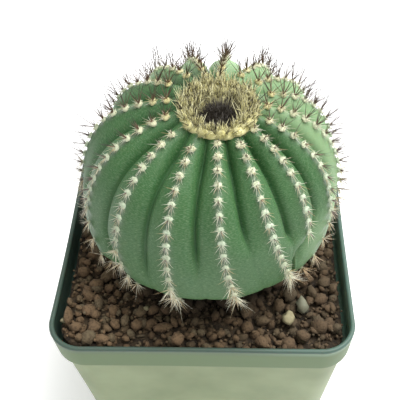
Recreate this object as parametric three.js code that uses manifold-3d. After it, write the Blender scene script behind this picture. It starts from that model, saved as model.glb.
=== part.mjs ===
import * as THREE from 'three';
import { mergeVertices } from 'three/addons/utils/BufferGeometryUtils.js';
import Module from 'manifold-3d';

// A ball cactus with sixteen woolly ribs, planted in lava grit in a square nursery pot.
// Millimetres, +Z up, with the front at -Y. The origin is the centre of the pot's base.

// Pot: a thin moulding with a stepped lip, tapering to a smaller square base.
const RIM_WIDTH = 90;
const RIM_CORNER = 10.5;
const POT_HEIGHT = 80;
const LIP_HEIGHT = 10.5;
const LIP_STEP = 1.7;
const LIP_FLARE = 0.4;
const BASE_WIDTH = 77;
const BASE_CORNER = 8.5;
const BASE_CHAMFER = 0.8;
const WALL = 1.2;
const FLOOR = 1.5;
const CORNER_FACETS = 5;
const DRAIN_RADIUS = 3.5;
const DRAIN_RING = 21;
const DRAIN_COUNT = 8;
const DRAIN_SIDES = 16;

// Grit: a filling that stops short of the rim, covered with loose grains.
const SOIL_TOP = 75;
const GRAIN_DEPTH = 2;
const SOIL_GAP = 0.3;
const GRAIN_SPACING = 5.8;
const GRAIN_RADIUS = [3.5, 4.5];
const GRAIN_ROUGHNESS = 0.3;
const GRAIN_SHUFFLE = 0.5;
const GRAIN_SINK = [1, 2];
const GRAIN_KEEP_OUT = 19;
const GRAIN_FROM_WALL = 0.8;
const HEAP = { x: -33, y: -36, height: 2.6, spread: 8 };

// Stem: a squat ribbed globe whose outline is two superellipse quarters.
const PLANT_X = 0.2;
const PLANT_Y = 0.8;
const LEAN = 0.055;
const CREST_RADIUS = 38.4;
const EQUATOR_Z = POT_HEIGHT + 15.4;
const CROWN_RISE = 39.7;
const BELLY_DROP = 20.7;
const TOP_POWER = 2.73;
const BELLY_POWER = 1.36;
const CROWN_RADIUS = 10.6;
const DIMPLE_DEPTH = 3;
const FOOT_RADIUS = 13;
const FOOT_BOTTOM = 66;
const FOOT_OVERLAP = 1;
const FOOT_SIDES = 16;
const FOOT_GAP = 0.3;
const HOLE_SIDES = 32;

// Grooves: their depth grows from the crown, stays, and fades out towards the belly. They
// open wide near the crown and narrow to creases lower down.
const GROOVE_DEPTH = 6.4;
const GROOVE_START = 10;
const GROOVE_OPENING = 0.7;
const GROOVE_FOOT = 10;
const GROOVE_FADE = 11;
const GROOVE_LAST = 0.7;
const FLANK_SLOPE = 0.3;
const FLANK_POWER = [3.5, 8];
const FLANK_CHANGE = [6, 30];
const BEND_FROM = 14;
const BEND_OVER = 44;
const BEND_LIMIT = 1.1;
const ROW_STEP = 6.6;
const LIP_ROW = 0.25;
const DIMPLE_SLOPE = 2.4;

// Ribs, counted from the front towards +X: bearing of the crest at the crown, its sideways
// bend towards the belly and its turn under the belly in degrees, the distances from the
// crown of the first tuft and of the end of the groove that follows the rib, and how far it
// swells outwards.
const RIBS = [
  { bearing: 3, bend: 11, tuck: 0, firstTuft: 4.7, grooveEnd: 39, swell: 0 },
  { bearing: 24, bend: 17, tuck: 0, firstTuft: 6.3, grooveEnd: 41, swell: 0 },
  { bearing: 46, bend: 1, tuck: 0, firstTuft: 3.8, grooveEnd: 53, swell: 0 },
  { bearing: 66, bend: -6, tuck: -14, firstTuft: 5.4, grooveEnd: 48, swell: 0 },
  { bearing: 86, bend: 0, tuck: 0, firstTuft: 3.6, grooveEnd: 47, swell: 0 },
  { bearing: 106, bend: 0, tuck: 0, firstTuft: 5.4, grooveEnd: 46, swell: 0 },
  { bearing: 128, bend: 0, tuck: 0, firstTuft: 4.6, grooveEnd: 48, swell: 0 },
  { bearing: 150, bend: 0, tuck: 0, firstTuft: 3.4, grooveEnd: 45, swell: 0 },
  { bearing: 174, bend: 0, tuck: 0, firstTuft: 5.2, grooveEnd: 47, swell: 0.8 },
  { bearing: 195, bend: 0, tuck: 0, firstTuft: 3.2, grooveEnd: 46, swell: 0.8 },
  { bearing: 215, bend: 0, tuck: 0, firstTuft: 4.4, grooveEnd: 48, swell: 0.8 },
  { bearing: 237, bend: 0, tuck: 0, firstTuft: 5.3, grooveEnd: 45, swell: 0.7 },
  { bearing: 265, bend: 0, tuck: 0, firstTuft: 2.9, grooveEnd: 47, swell: 1.4 },
  { bearing: 292, bend: 0, tuck: 16, firstTuft: 3.7, grooveEnd: 70, swell: 0.4 },
  { bearing: 316, bend: 2, tuck: 10, firstTuft: 5.7, grooveEnd: 53, swell: 0 },
  { bearing: 340, bend: 7, tuck: 0, firstTuft: 7.2, grooveEnd: 46, swell: 0 },
];

const TUCK_FROM = [42, 60];
const SWELL_FROM = [4, 24];

// The third rib is short. Below its end it narrows, a little further down it turns aside
// and sinks to a pinched fold, and the groove before it ends sooner.
const SHORT_RIB = 2;
const SHORT_RIB_END = 39;
const SHORT_RIB_FADE = 6;
const SHORT_RIB_SINK = 1.8;
const SINK_LENGTH = 7;
const SINK_CLOSES = [54, 61];
const PINCH_TURN = -6;
const PINCH_DELAY = 3;
const PINCH_FROM = 35;
const PINCH_LENGTH = 11;
const PINCHED_WIDTH = 0.1;

// Tufts of wool along each crest, with spines that grow from their sides.
const TUFT_SPACING = 3.77;
const TUFT_GROWTH = 0.0035;
const TUFTS_END = 60;
const TUFT_RADIUS = 1.6;
const TUFT_HEIGHT = 1.3;
const SPINE_RADIUS = 0.28;
const SPINE_SEAT = 0.2;
const SPINE_LENGTH = [3.8, 5.6];
const SPINE_VARIATION = [0.85, 1.15];
const SIDE_SPINE = { outward: 0.55, across: [0.75, 1], down: 0.5 };
const UPPER_SPINE = { outward: 0.9, across: [-0.15, 0.15], down: -0.7 };
const CLEAR_OF_CROWN = 8;

// Behind the plant the upright spines of the upper tufts are longer, by this share.
const FAR_SPINES = 0.9;
const FAR_BEARINGS = [50, 130];
const FAR_DISTANCES = [10, 40];

// Crown: a cap of wool set in the dimple, which reaches over the front ribs to their first
// tufts. A dark bundle of spines sits in a socket forward of its middle.
const WOOL_GAP = 0.3;
const WOOL_HEIGHT = 1.5;
const WOOL_OVERHANG = 0.4;
const WOOL_REACH = 2.9;
const WOOL_TO_TUFT = 2.4;
const WOOL_HALVES = [0, 0.5];

// The wool's underside in the dimple, as distances inside its lip and shares of its depth,
// and its upper side, as shares of the way from the socket and of its height.
const WOOL_SEAT = [{ inside: 3.2, deep: 1 }, { inside: 1.4, deep: 0.6 }, { inside: 0.2, deep: 0 }];
const WOOL_TOP = [
  { share: 0.95, rise: 0.7, unevenness: 0.3 },
  { share: 0.75, rise: 1, unevenness: 0.5 },
  { share: 0.35, rise: 1, unevenness: 0.5 },
  { share: 0, rise: 0.45, unevenness: 0.2 },
];
const BRISTLE_COUNT = 84;
const BRISTLE_LENGTH = [3.4, 5.4];
const BRISTLE_LEAN = [0.1, 0.4];
const BRISTLE_SHARES = [0.3, 0.85];
const BRISTLE_SPREAD = 40;
const SOCKET_RADIUS = 4.8;
const SOCKET_X = 0.4;
const SOCKET_Y = -4;
const SOCKET_FLOOR = -1;
const BUNDLE_COUNT = 46;
const BUNDLE_LENGTH = [2.4, 3.4];
const BUNDLE_LEAN = [0.05, 0.3];
const BUNDLE_FLOOR = 0.9;
const BUNDLE_GAP = 0.4;
const BUNDLE_SPREAD = 0.8;
const ROOT_DEPTH = 0.3;
const GOLDEN_ANGLE = 137.5;

// Shortest edge that is kept where two surfaces are joined.
const SLIVER = 0.003;

const wasm = await Module();
wasm.setup();

// A repeatable stream of numbers from 0 to 1.
function randomStream(seed) {
  let state = seed;
  return () => {
    state = (state + 0x6d2b79f5) | 0;
    let mixed = Math.imul(state ^ (state >>> 15), 1 | state);
    mixed = (mixed + Math.imul(mixed ^ (mixed >>> 7), 61 | mixed)) ^ mixed;
    return ((mixed ^ (mixed >>> 14)) >>> 0) / 4294967296;
  };
}

function between(range, amount) {
  return range[0] + (range[1] - range[0]) * amount;
}

function solidFrom(geometry) {
  const bare = geometry.clone();
  bare.deleteAttribute('normal');
  bare.deleteAttribute('uv');
  const closed = mergeVertices(bare);
  return new wasm.Manifold(new wasm.Mesh({
    numProp: 3,
    vertProperties: new Float32Array(closed.attributes.position.array),
    triVerts: new Uint32Array(closed.index.array),
  }));
}

function geometryFrom(solid) {
  const mesh = solid.getMesh();
  const geometry = new THREE.BufferGeometry();
  geometry.setAttribute('position', new THREE.BufferAttribute(mesh.vertProperties, 3));
  geometry.setIndex(new THREE.BufferAttribute(mesh.triVerts, 1));
  geometry.computeVertexNormals();
  return geometry;
}

// Joins a body and all that grows on it, without slivers where edges nearly meet, and
// keeps the one piece that hangs together.
function grownTogether(solids) {
  const whole = wasm.Manifold.union(solids).simplify(SLIVER);
  const pieces = whole.decompose();
  pieces.sort((a, b) => b.volume() - a.volume());
  return pieces[0];
}

function indexedGeometry(points, faces) {
  const geometry = new THREE.BufferGeometry();
  const flat = points.flatMap((point) => [point.x, point.y, point.z]);
  geometry.setAttribute('position', new THREE.Float32BufferAttribute(flat, 3));
  geometry.setIndex(faces.flat());
  geometry.computeVertexNormals();
  return geometry;
}

// Joins rings of equally many points into a closed skin. The first and last ring end in a
// point at their centre. Rings run anticlockwise from above and go from the lowest outside
// ring up and over.
function loft(rings) {
  const count = rings[0].length;
  const points = rings.flat();
  const faces = [];
  for (let row = 0; row + 1 < rings.length; row += 1) {
    for (let column = 0; column < count; column += 1) {
      const next = (column + 1) % count;
      const a = row * count + column;
      const b = row * count + next;
      const c = (row + 1) * count + next;
      const d = (row + 1) * count + column;
      faces.push([a, b, c], [a, c, d]);
    }
  }
  const first = points.length;
  points.push(centreOf(rings[0]));
  const last = points.length;
  points.push(centreOf(rings[rings.length - 1]));
  const lastRow = (rings.length - 1) * count;
  for (let column = 0; column < count; column += 1) {
    const next = (column + 1) % count;
    faces.push([first, next, column]);
    faces.push([last, lastRow + column, lastRow + next]);
  }
  return indexedGeometry(points, faces);
}

function centreOf(ring) {
  const sum = new THREE.Vector3();
  ring.forEach((point) => sum.add(point));
  return sum.divideScalar(ring.length);
}

// A square with rounded corners, level at height z.
function roundedSquare(width, corner, z) {
  const ring = [];
  const reach = width / 2 - corner;
  for (let quarter = 0; quarter < 4; quarter += 1) {
    for (let step = 0; step <= CORNER_FACETS; step += 1) {
      const angle = (quarter + step / CORNER_FACETS) * Math.PI / 2;
      const middle = (quarter + 0.5) * Math.PI / 2;
      const x = reach * Math.sign(Math.cos(middle)) + corner * Math.cos(angle);
      const y = reach * Math.sign(Math.sin(middle)) + corner * Math.sin(angle);
      ring.push(new THREE.Vector3(x, y, z));
    }
  }
  return ring;
}

// Outer width of the pot's tapered wall at height z.
const WALL_TOP_WIDTH = RIM_WIDTH - 2 * LIP_STEP;
const LIP_BOTTOM = POT_HEIGHT - LIP_HEIGHT;

function wallWidth(z) {
  return BASE_WIDTH + (WALL_TOP_WIDTH - BASE_WIDTH) * z / LIP_BOTTOM;
}

function wallCorner(z) {
  return BASE_CORNER + (RIM_CORNER - LIP_STEP - BASE_CORNER) * z / LIP_BOTTOM;
}

function makePot() {
  const shelf = LIP_BOTTOM + WALL;
  const skin = loft([
    roundedSquare(BASE_WIDTH - 2 * BASE_CHAMFER, BASE_CORNER - BASE_CHAMFER, 0),
    roundedSquare(wallWidth(BASE_CHAMFER), wallCorner(BASE_CHAMFER), BASE_CHAMFER),
    roundedSquare(WALL_TOP_WIDTH, RIM_CORNER - LIP_STEP, LIP_BOTTOM),
    roundedSquare(RIM_WIDTH - 2 * LIP_FLARE, RIM_CORNER - LIP_FLARE, LIP_BOTTOM),
    roundedSquare(RIM_WIDTH, RIM_CORNER, POT_HEIGHT),
    roundedSquare(RIM_WIDTH - 2 * WALL, RIM_CORNER - WALL, POT_HEIGHT),
    roundedSquare(RIM_WIDTH - 2 * (LIP_FLARE + WALL), RIM_CORNER - LIP_FLARE - WALL, shelf),
    roundedSquare(wallWidth(shelf) - 2 * WALL, wallCorner(shelf) - WALL, shelf),
    roundedSquare(wallWidth(FLOOR) - 2 * WALL, wallCorner(FLOOR) - WALL, FLOOR),
  ]);
  const drains = [];
  for (let index = 0; index < DRAIN_COUNT; index += 1) {
    const angle = (index + 0.5) * 2 * Math.PI / DRAIN_COUNT;
    const drain = new THREE.CylinderGeometry(DRAIN_RADIUS, DRAIN_RADIUS, 4 * FLOOR, DRAIN_SIDES);
    drain.rotateX(Math.PI / 2);
    drain.translate(DRAIN_RING * Math.cos(angle), DRAIN_RING * Math.sin(angle), 0);
    drains.push(solidFrom(drain));
  }
  return geometryFrom(solidFrom(skin).subtract(wasm.Manifold.union(drains)));
}

// Distance inside the edge of a rounded square, negative outside.
function depthInSquare(x, y, width, corner) {
  const reach = width / 2 - corner;
  const dx = Math.abs(x) - reach;
  const dy = Math.abs(y) - reach;
  const outside = Math.hypot(Math.max(dx, 0), Math.max(dy, 0));
  return corner - outside - Math.min(Math.max(dx, dy), 0);
}

function heapHeight(x, y) {
  const distance = Math.hypot(x - HEAP.x, y - HEAP.y);
  return HEAP.height * Math.exp(-(distance ** 2) / (2 * HEAP.spread ** 2));
}

// An angular grain of broken lava: a double pyramid with uneven reach to its six tips.
function makeGrain(radius, random) {
  const pyramid = new THREE.OctahedronGeometry(radius, 0);
  pyramid.deleteAttribute('normal');
  pyramid.deleteAttribute('uv');
  const grain = mergeVertices(pyramid);
  const tips = grain.attributes.position;
  for (let index = 0; index < tips.count; index += 1) {
    const reach = 1 - GRAIN_ROUGHNESS * random();
    tips.setXYZ(index, reach * tips.getX(index), reach * tips.getY(index), reach * tips.getZ(index));
  }
  return grain;
}

function makeSoil() {
  const random = randomStream(11);
  const shelf = LIP_BOTTOM + WALL;
  const inset = 2 * (WALL + SOIL_GAP);
  const topWidth = wallWidth(shelf) - inset;
  const topCorner = wallCorner(shelf) - WALL - SOIL_GAP;
  const filling = loft([
    roundedSquare(wallWidth(FLOOR) - inset, wallCorner(FLOOR) - WALL - SOIL_GAP, FLOOR),
    roundedSquare(topWidth, topCorner, shelf),
    roundedSquare(topWidth, topCorner, SOIL_TOP - GRAIN_DEPTH),
  ]);
  const solids = [solidFrom(filling)];
  const rowStep = GRAIN_SPACING * Math.sqrt(3) / 2;
  const rows = Math.ceil(topWidth / 2 / rowStep);
  for (let row = -rows; row <= rows; row += 1) {
    for (let column = -rows; column <= rows; column += 1) {
      const radius = between(GRAIN_RADIUS, random());
      const shift = row % 2 === 0 ? 0 : 0.5;
      const x = (column + shift + GRAIN_SHUFFLE * (random() - 0.5)) * GRAIN_SPACING;
      const y = row * rowStep + GRAIN_SHUFFLE * (random() - 0.5) * GRAIN_SPACING;
      const sink = between(GRAIN_SINK, random());
      const turn = new THREE.Euler(6 * random(), 6 * random(), 6 * random());
      const away = Math.hypot(x - PLANT_X, y - PLANT_Y);
      const inside = depthInSquare(x, y, topWidth, topCorner);
      if (away > GRAIN_KEEP_OUT && inside > GRAIN_FROM_WALL * radius) {
        const grain = makeGrain(radius, random);
        grain.applyMatrix4(new THREE.Matrix4().makeRotationFromEuler(turn));
        grain.translate(x, y, SOIL_TOP + heapHeight(x, y) - sink);
        solids.push(solidFrom(grain));
      }
    }
  }
  const holeRadius = FOOT_RADIUS + FOOT_GAP;
  const holeHeight = 2 * (SOIL_TOP - FOOT_BOTTOM);
  const hole = new THREE.CylinderGeometry(holeRadius, holeRadius, holeHeight, HOLE_SIDES);
  hole.rotateX(Math.PI / 2);
  hole.translate(PLANT_X, PLANT_Y, SOIL_TOP);
  return geometryFrom(grownTogether(solids).subtract(solidFrom(hole)));
}

// The crest's outline at angle t from the apex, as radius and height.
function outlineAt(t) {
  const upper = Math.cos(t) >= 0;
  const power = upper ? TOP_POWER : BELLY_POWER;
  const radius = CREST_RADIUS * Math.sin(t) ** (2 / power);
  const rise = Math.abs(Math.cos(t)) ** (2 / power);
  const height = upper ? EQUATOR_Z + CROWN_RISE * rise : EQUATOR_Z - BELLY_DROP * rise;
  return new THREE.Vector2(radius, height);
}

// The same outline walked from the crown's edge to the foot, measured along the curve.
const OUTLINE = walkOutline();

function walkOutline() {
  const walked = [];
  const steps = 1200;
  let length = 0;
  let before = null;
  for (let step = 1; step < steps; step += 1) {
    const point = outlineAt(step * Math.PI / steps);
    const above = point.y > EQUATOR_Z;
    if (point.x >= (above ? CROWN_RADIUS : FOOT_RADIUS)) {
      length += before ? before.distanceTo(point) : 0;
      walked.push({ point, length });
      before = point;
    }
  }
  return walked;
}

const OUTLINE_LENGTH = OUTLINE[OUTLINE.length - 1].length;

// Radius, height and outward direction at a distance along the crest.
function crestAt(distance) {
  const clipped = Math.min(Math.max(distance, 0), OUTLINE_LENGTH);
  let index = 1;
  while (index < OUTLINE.length - 1 && OUTLINE[index].length < clipped) {
    index += 1;
  }
  const low = OUTLINE[index - 1];
  const high = OUTLINE[index];
  const share = (clipped - low.length) / (high.length - low.length);
  const point = low.point.clone().lerp(high.point, share);
  const along = high.point.clone().sub(low.point).normalize();
  return { point, along, outward: new THREE.Vector2(-along.y, along.x) };
}

function smoothStep(from, to, value) {
  const share = Math.min(Math.max((value - from) / (to - from), 0), 1);
  return share * share * (3 - 2 * share);
}

// How far the short rib is pinched at a distance, from 0 to 1, and the others never.
function pinch(rib, distance) {
  return rib === SHORT_RIB ? smoothStep(PINCH_FROM, PINCH_FROM + PINCH_LENGTH, distance) : 0;
}

function crestBearing(rib, distance) {
  const { bearing, bend, tuck } = RIBS[rib];
  const bent = Math.min(Math.max((distance - BEND_FROM) / BEND_OVER, 0), BEND_LIMIT);
  const tucked = tuck * smoothStep(TUCK_FROM[0], TUCK_FROM[1], distance);
  return bearing + bend * bent * bent + tucked + PINCH_TURN * pinch(rib, distance - PINCH_DELAY);
}

// Bearing of the groove that follows a rib: midway to the next, or close to the short rib
// where that one is pinched.
function grooveBearing(rib, distance) {
  const next = (rib + 1) % RIBS.length;
  const here = crestBearing(rib, distance);
  const there = crestBearing(next, distance) + (next === 0 ? 360 : 0);
  const width = 1 - (1 - PINCHED_WIDTH) * pinch(rib, distance);
  return here + 0.5 * (there - here) * width;
}

// Depth of the groove that follows a rib.
function grooveDepth(rib, distance) {
  const opening = Math.min(distance / GROOVE_START, 1) ** GROOVE_OPENING;
  const end = RIBS[rib].grooveEnd;
  const fade = rib === SHORT_RIB - 1 ? SHORT_RIB_FADE : GROOVE_FADE;
  const fading = 1 - smoothStep(end - fade, end, distance);
  const foot = 1 - smoothStep(OUTLINE_LENGTH - GROOVE_FOOT, OUTLINE_LENGTH, distance);
  return GROOVE_DEPTH * opening * fading + GROOVE_LAST * (1 - fading) * foot;
}

// Depth of a rib's flank, 0 at its crest and 1 in the groove: broad and slightly rounded,
// then falling away steeply.
function flankDepth(side, distance) {
  const across = Math.abs(side);
  const power = between(FLANK_POWER, smoothStep(FLANK_CHANGE[0], FLANK_CHANGE[1], distance));
  return FLANK_SLOPE * across + (1 - FLANK_SLOPE) * across ** power;
}

// How deep the short rib's crest has sunk at a distance.
function crestSink(rib, distance) {
  if (rib !== SHORT_RIB) {
    return 0;
  }
  const sinking = smoothStep(SHORT_RIB_END, SHORT_RIB_END + SINK_LENGTH, distance);
  return SHORT_RIB_SINK * sinking * (1 - smoothStep(SINK_CLOSES[0], SINK_CLOSES[1], distance));
}

// Outward swelling of a rib, shared with its neighbour in the groove between them.
function swelling(rib, side, distance) {
  const beside = (rib + (side < 0 ? RIBS.length - 1 : 1)) % RIBS.length;
  const swell = between([RIBS[rib].swell, RIBS[beside].swell], Math.abs(side) / 2);
  return swell * smoothStep(SWELL_FROM[0], SWELL_FROM[1], distance);
}

// A point of the stem, with side from -1 to 1 across a rib and distance along its crest.
function stemPoint(rib, side, distance) {
  const crest = crestAt(distance);
  const bearing = crestBearing(rib, distance);
  const before = (rib + RIBS.length - 1) % RIBS.length;
  const left = grooveBearing(before, distance) - (before > rib ? 360 : 0);
  const right = grooveBearing(rib, distance);
  const turned = side < 0 ? bearing + side * (bearing - left) : bearing + side * (right - bearing);
  const groove = side < 0 ? before : rib;
  const sunk = crestSink(rib, distance) * (1 - Math.abs(side));
  const depth = grooveDepth(groove, distance) * flankDepth(side, distance) + sunk;
  const radius = crest.point.x + swelling(rib, side, distance) - depth * crest.outward.x;
  const height = crest.point.y - depth * crest.outward.y;
  return placed(turned, radius, height);
}

// From a bearing, radius and height round the plant's own axis to the pot's frame.
function placed(bearing, radius, height) {
  const angle = THREE.MathUtils.degToRad(bearing);
  const lean = LEAN * Math.max(height - SOIL_TOP, 0);
  return new THREE.Vector3(
    PLANT_X + lean + radius * Math.sin(angle),
    PLANT_Y - radius * Math.cos(angle),
    height,
  );
}

const FLANK_STEPS = [-1, -0.8, -0.4, 0, 0.4, 0.8];

function stemRing(makePoint) {
  const ring = [];
  RIBS.forEach((_, rib) => {
    FLANK_STEPS.forEach((side) => ring.push(makePoint(rib, side)));
  });
  return ring;
}

// A ring of constant radius and height in the columns of the ribs.
function plainRing(radius, height, distance) {
  return stemRing((rib, side) => {
    const point = stemPoint(rib, side, distance);
    const axis = placed(0, 0, height);
    const bearing = Math.atan2(point.x - axis.x, -(point.y - axis.y));
    return placed(THREE.MathUtils.radToDeg(bearing), radius, height);
  });
}

function makeStemBody() {
  const rings = [];
  const rows = Math.round(OUTLINE_LENGTH / ROW_STEP);
  for (let row = rows; row > 0; row -= 1) {
    rings.push(stemRing((rib, side) => stemPoint(rib, side, row * OUTLINE_LENGTH / rows)));
  }
  const lip = crestAt(0).point;
  rings.push(stemRing((rib, side) => stemPoint(rib, side, LIP_ROW * ROW_STEP)));
  rings.push(stemRing((rib, side) => stemPoint(rib, side, 0)));
  rings.push(plainRing(lip.x - DIMPLE_SLOPE, lip.y - DIMPLE_DEPTH, 0));
  const footTop = OUTLINE[OUTLINE.length - 1].point.y + FOOT_OVERLAP;
  const footHeight = footTop - FOOT_BOTTOM;
  const foot = new THREE.CylinderGeometry(FOOT_RADIUS, FOOT_RADIUS, footHeight, FOOT_SIDES);
  foot.rotateX(Math.PI / 2);
  foot.translate(PLANT_X, PLANT_Y, footTop - footHeight / 2);
  return solidFrom(loft(rings)).add(solidFrom(foot));
}

// Places a shape made along +Z with its root at a point, pointing in a direction.
function planted(geometry, root, direction) {
  const turn = new THREE.Quaternion();
  turn.setFromUnitVectors(new THREE.Vector3(0, 0, 1), direction.clone().normalize());
  geometry.applyQuaternion(turn);
  geometry.translate(root.x, root.y, root.z);
  return solidFrom(geometry);
}

// A three-sided tapering needle whose root lies below the point it grows from.
function needle(root, direction, length, radius, sunk) {
  const shape = new THREE.ConeGeometry(radius, length + sunk, 3, 1);
  shape.rotateX(Math.PI / 2);
  shape.translate(0, 0, (length + sunk) / 2 - sunk);
  return planted(shape, root, direction);
}

// The crest point, its outward direction, the direction down the rib and across it.
function crestFrame(rib, distance) {
  const root = stemPoint(rib, 0, distance);
  const below = stemPoint(rib, 0, distance + 0.5);
  const above = stemPoint(rib, 0, distance - 0.5);
  const down = below.sub(above).normalize();
  const bearing = THREE.MathUtils.degToRad(crestBearing(rib, distance));
  const level = new THREE.Vector3(Math.cos(bearing), Math.sin(bearing), 0);
  const outward = new THREE.Vector3().crossVectors(down, level).normalize();
  const across = new THREE.Vector3().crossVectors(down, outward).normalize();
  return { root, outward, down, across };
}

function tuftDistances(rib) {
  const distances = [];
  const end = rib === SHORT_RIB ? SHORT_RIB_END : TUFTS_END;
  let distance = RIBS[rib].firstTuft;
  while (distance < end) {
    distances.push(distance);
    const spread = distances.length * (1 + TUFT_GROWTH * distances.length);
    distance = RIBS[rib].firstTuft + TUFT_SPACING * spread;
  }
  return distances;
}

// A tuft is a three-sided cone with one side up the rib and two sides down and across it.
function makeTuft(frame) {
  const cone = new THREE.ConeGeometry(TUFT_RADIUS, 2 * TUFT_HEIGHT, 3, 1);
  cone.rotateX(Math.PI / 2);
  cone.rotateZ(Math.PI);
  const upright = new THREE.Matrix4().makeBasis(frame.across, frame.down, frame.outward);
  cone.applyMatrix4(upright);
  cone.translate(frame.root.x, frame.root.y, frame.root.z);
  return solidFrom(cone);
}

// Directions of the spines that can leave a tuft, each through the middle of one side.
function spineDirection(frame, side, random) {
  const { outward, across, down } = side === 0 ? UPPER_SPINE : SIDE_SPINE;
  return frame.outward.clone()
    .multiplyScalar(outward)
    .addScaledVector(frame.across, between(across, random()) * (side || 1))
    .addScaledVector(frame.down, down);
}

// Sides that carry a spine, on one tuft after another.
const SPINE_SIDES = [[-1, 1], [0], [1, 0], [-1], [-1, 1], [1]];

function makeStem() {
  const random = randomStream(5);
  const solids = [makeStemBody()];
  RIBS.forEach(({ bearing }, rib) => {
    const fromFront = Math.min(bearing, 360 - bearing);
    const behind = smoothStep(FAR_BEARINGS[0], FAR_BEARINGS[1], fromFront);
    tuftDistances(rib).forEach((distance, index) => {
      const above = 1 - smoothStep(FAR_DISTANCES[0], FAR_DISTANCES[1], distance);
      const upright = 1 + FAR_SPINES * behind * above;
      const frame = crestFrame(rib, distance);
      solids.push(makeTuft(frame));
      const length = between(SPINE_LENGTH, smoothStep(0, TUFTS_END, distance));
      const root = frame.root.clone().addScaledVector(frame.outward, SPINE_SEAT);
      SPINE_SIDES[(index + rib) % SPINE_SIDES.length].forEach((side) => {
        const direction = spineDirection(frame, side, random);
        const reach = length * between(SPINE_VARIATION, random()) * (side === 0 ? upright : 1);
        if (side !== 0 || distance > CLEAR_OF_CROWN) {
          solids.push(needle(root, direction, reach, SPINE_RADIUS, 0));
        }
      });
    });
  });
  return geometryFrom(grownTogether(solids));
}

// How far the wool reaches down a rib: nowhere behind, and in front as far as it can
// without touching the first tuft.
function woolReach(rib) {
  const { bearing, firstTuft } = RIBS[rib];
  const forward = (1 + Math.cos(THREE.MathUtils.degToRad(bearing))) / 2;
  return Math.min(WOOL_REACH * forward, firstTuft - WOOL_TO_TUFT);
}

// The wool's edge on each rib and halfway to the next: bearing, radius and height.
const WOOL_EDGE = RIBS.flatMap(({ bearing }, rib) => {
  const next = (rib + 1) % RIBS.length;
  const beyond = RIBS[next].bearing + (next === 0 ? 360 : 0);
  return WOOL_HALVES.map((half) => {
    const crest = crestAt(between([woolReach(rib), woolReach(next)], half)).point;
    return {
      bearing: between([bearing, beyond], half),
      radius: crest.x + WOOL_OVERHANG,
      height: crest.y + 2 * WOOL_GAP,
    };
  });
});

// A ring round the plant's axis with one point to each point of the wool's edge.
function axisRing(radius, height) {
  return WOOL_EDGE.map(({ bearing }) => placed(bearing, radius, height));
}

// A point on the way from the socket's rim, share 0, to the wool's edge, share 1.
function crownPoint(share, edge, height) {
  const outside = placed(edge.bearing, edge.radius, height);
  const rim = placed(edge.bearing, SOCKET_RADIUS, height);
  rim.x += SOCKET_X;
  rim.y += SOCKET_Y;
  return rim.lerp(outside, share);
}

// A ring between the socket's rim and the wool's edge with a little unevenness in height.
function crownRing(share, height, unevenness, random) {
  return WOOL_EDGE.map((edge) => (
    crownPoint(share, edge, height + unevenness * (random() - 0.5))
  ));
}

// Direction of a spine that leans outwards on its bearing.
function leaningSpine(bearing, lean) {
  const angle = THREE.MathUtils.degToRad(bearing);
  return new THREE.Vector3(lean * Math.sin(angle), -lean * Math.cos(angle), 1);
}

function makeCrownWool() {
  const random = randomStream(23);
  const lip = crestAt(0).point;
  const top = lip.y + WOOL_HEIGHT;
  const solids = [solidFrom(loft([
    ...WOOL_SEAT.map(({ inside, deep }) => (
      axisRing(lip.x - inside, lip.y - deep * DIMPLE_DEPTH + WOOL_GAP)
    )),
    WOOL_EDGE.map((edge) => placed(edge.bearing, edge.radius, edge.height)),
    ...WOOL_TOP.map(({ share, rise, unevenness }) => (
      crownRing(share, lip.y + rise * WOOL_HEIGHT, unevenness, random)
    )),
    crownRing(0, lip.y + SOCKET_FLOOR, 0, random),
  ]))];
  for (let index = 0; index < BRISTLE_COUNT; index += 1) {
    const share = Math.sqrt((index + 0.5) / BRISTLE_COUNT);
    const edge = WOOL_EDGE[Math.floor(WOOL_EDGE.length * random())];
    const root = crownPoint(between(BRISTLE_SHARES, share), edge, top - ROOT_DEPTH);
    const bearing = edge.bearing + BRISTLE_SPREAD * (random() - 0.5);
    const direction = leaningSpine(bearing, between(BRISTLE_LEAN, share));
    const length = between(BRISTLE_LENGTH, random());
    solids.push(needle(root, direction, length, SPINE_RADIUS, ROOT_DEPTH));
  }
  return geometryFrom(grownTogether(solids));
}

function makeCrownSpines() {
  const random = randomStream(41);
  const floor = crestAt(0).point.y + SOCKET_FLOOR + WOOL_GAP;
  const radius = SOCKET_RADIUS - BUNDLE_GAP;
  const middle = placed(0, 0, floor);
  middle.x += SOCKET_X;
  middle.y += SOCKET_Y;
  const cushion = new THREE.CylinderGeometry(radius, radius, BUNDLE_FLOOR, HOLE_SIDES);
  cushion.rotateX(Math.PI / 2);
  cushion.translate(middle.x, middle.y, middle.z + BUNDLE_FLOOR / 2);
  const solids = [solidFrom(cushion)];
  for (let index = 0; index < BUNDLE_COUNT; index += 1) {
    const share = (index + 0.5) / BUNDLE_COUNT;
    const bearing = index * GOLDEN_ANGLE;
    const direction = leaningSpine(bearing, between(BUNDLE_LEAN, share));
    const offset = leaningSpine(bearing, BUNDLE_SPREAD * radius * Math.sqrt(share));
    const root = middle.clone().add(offset.setZ(BUNDLE_FLOOR));
    const length = between(BUNDLE_LENGTH, random());
    solids.push(needle(root, direction, length, SPINE_RADIUS, ROOT_DEPTH));
  }
  return geometryFrom(grownTogether(solids));
}

function makeMesh(name, geometry, color, roughness) {
  const material = new THREE.MeshStandardMaterial({ color, roughness, metalness: 0 });
  const mesh = new THREE.Mesh(geometry, material);
  mesh.name = name;
  return mesh;
}

const plant = new THREE.Group();
plant.add(makeMesh('cactus_stem', makeStem(), '#4f7750', 0.55));
plant.add(makeMesh('crown_wool', makeCrownWool(), '#cfc48c', 0.95));
plant.add(makeMesh('crown_spines', makeCrownSpines(), '#2a2422', 0.6));

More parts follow.
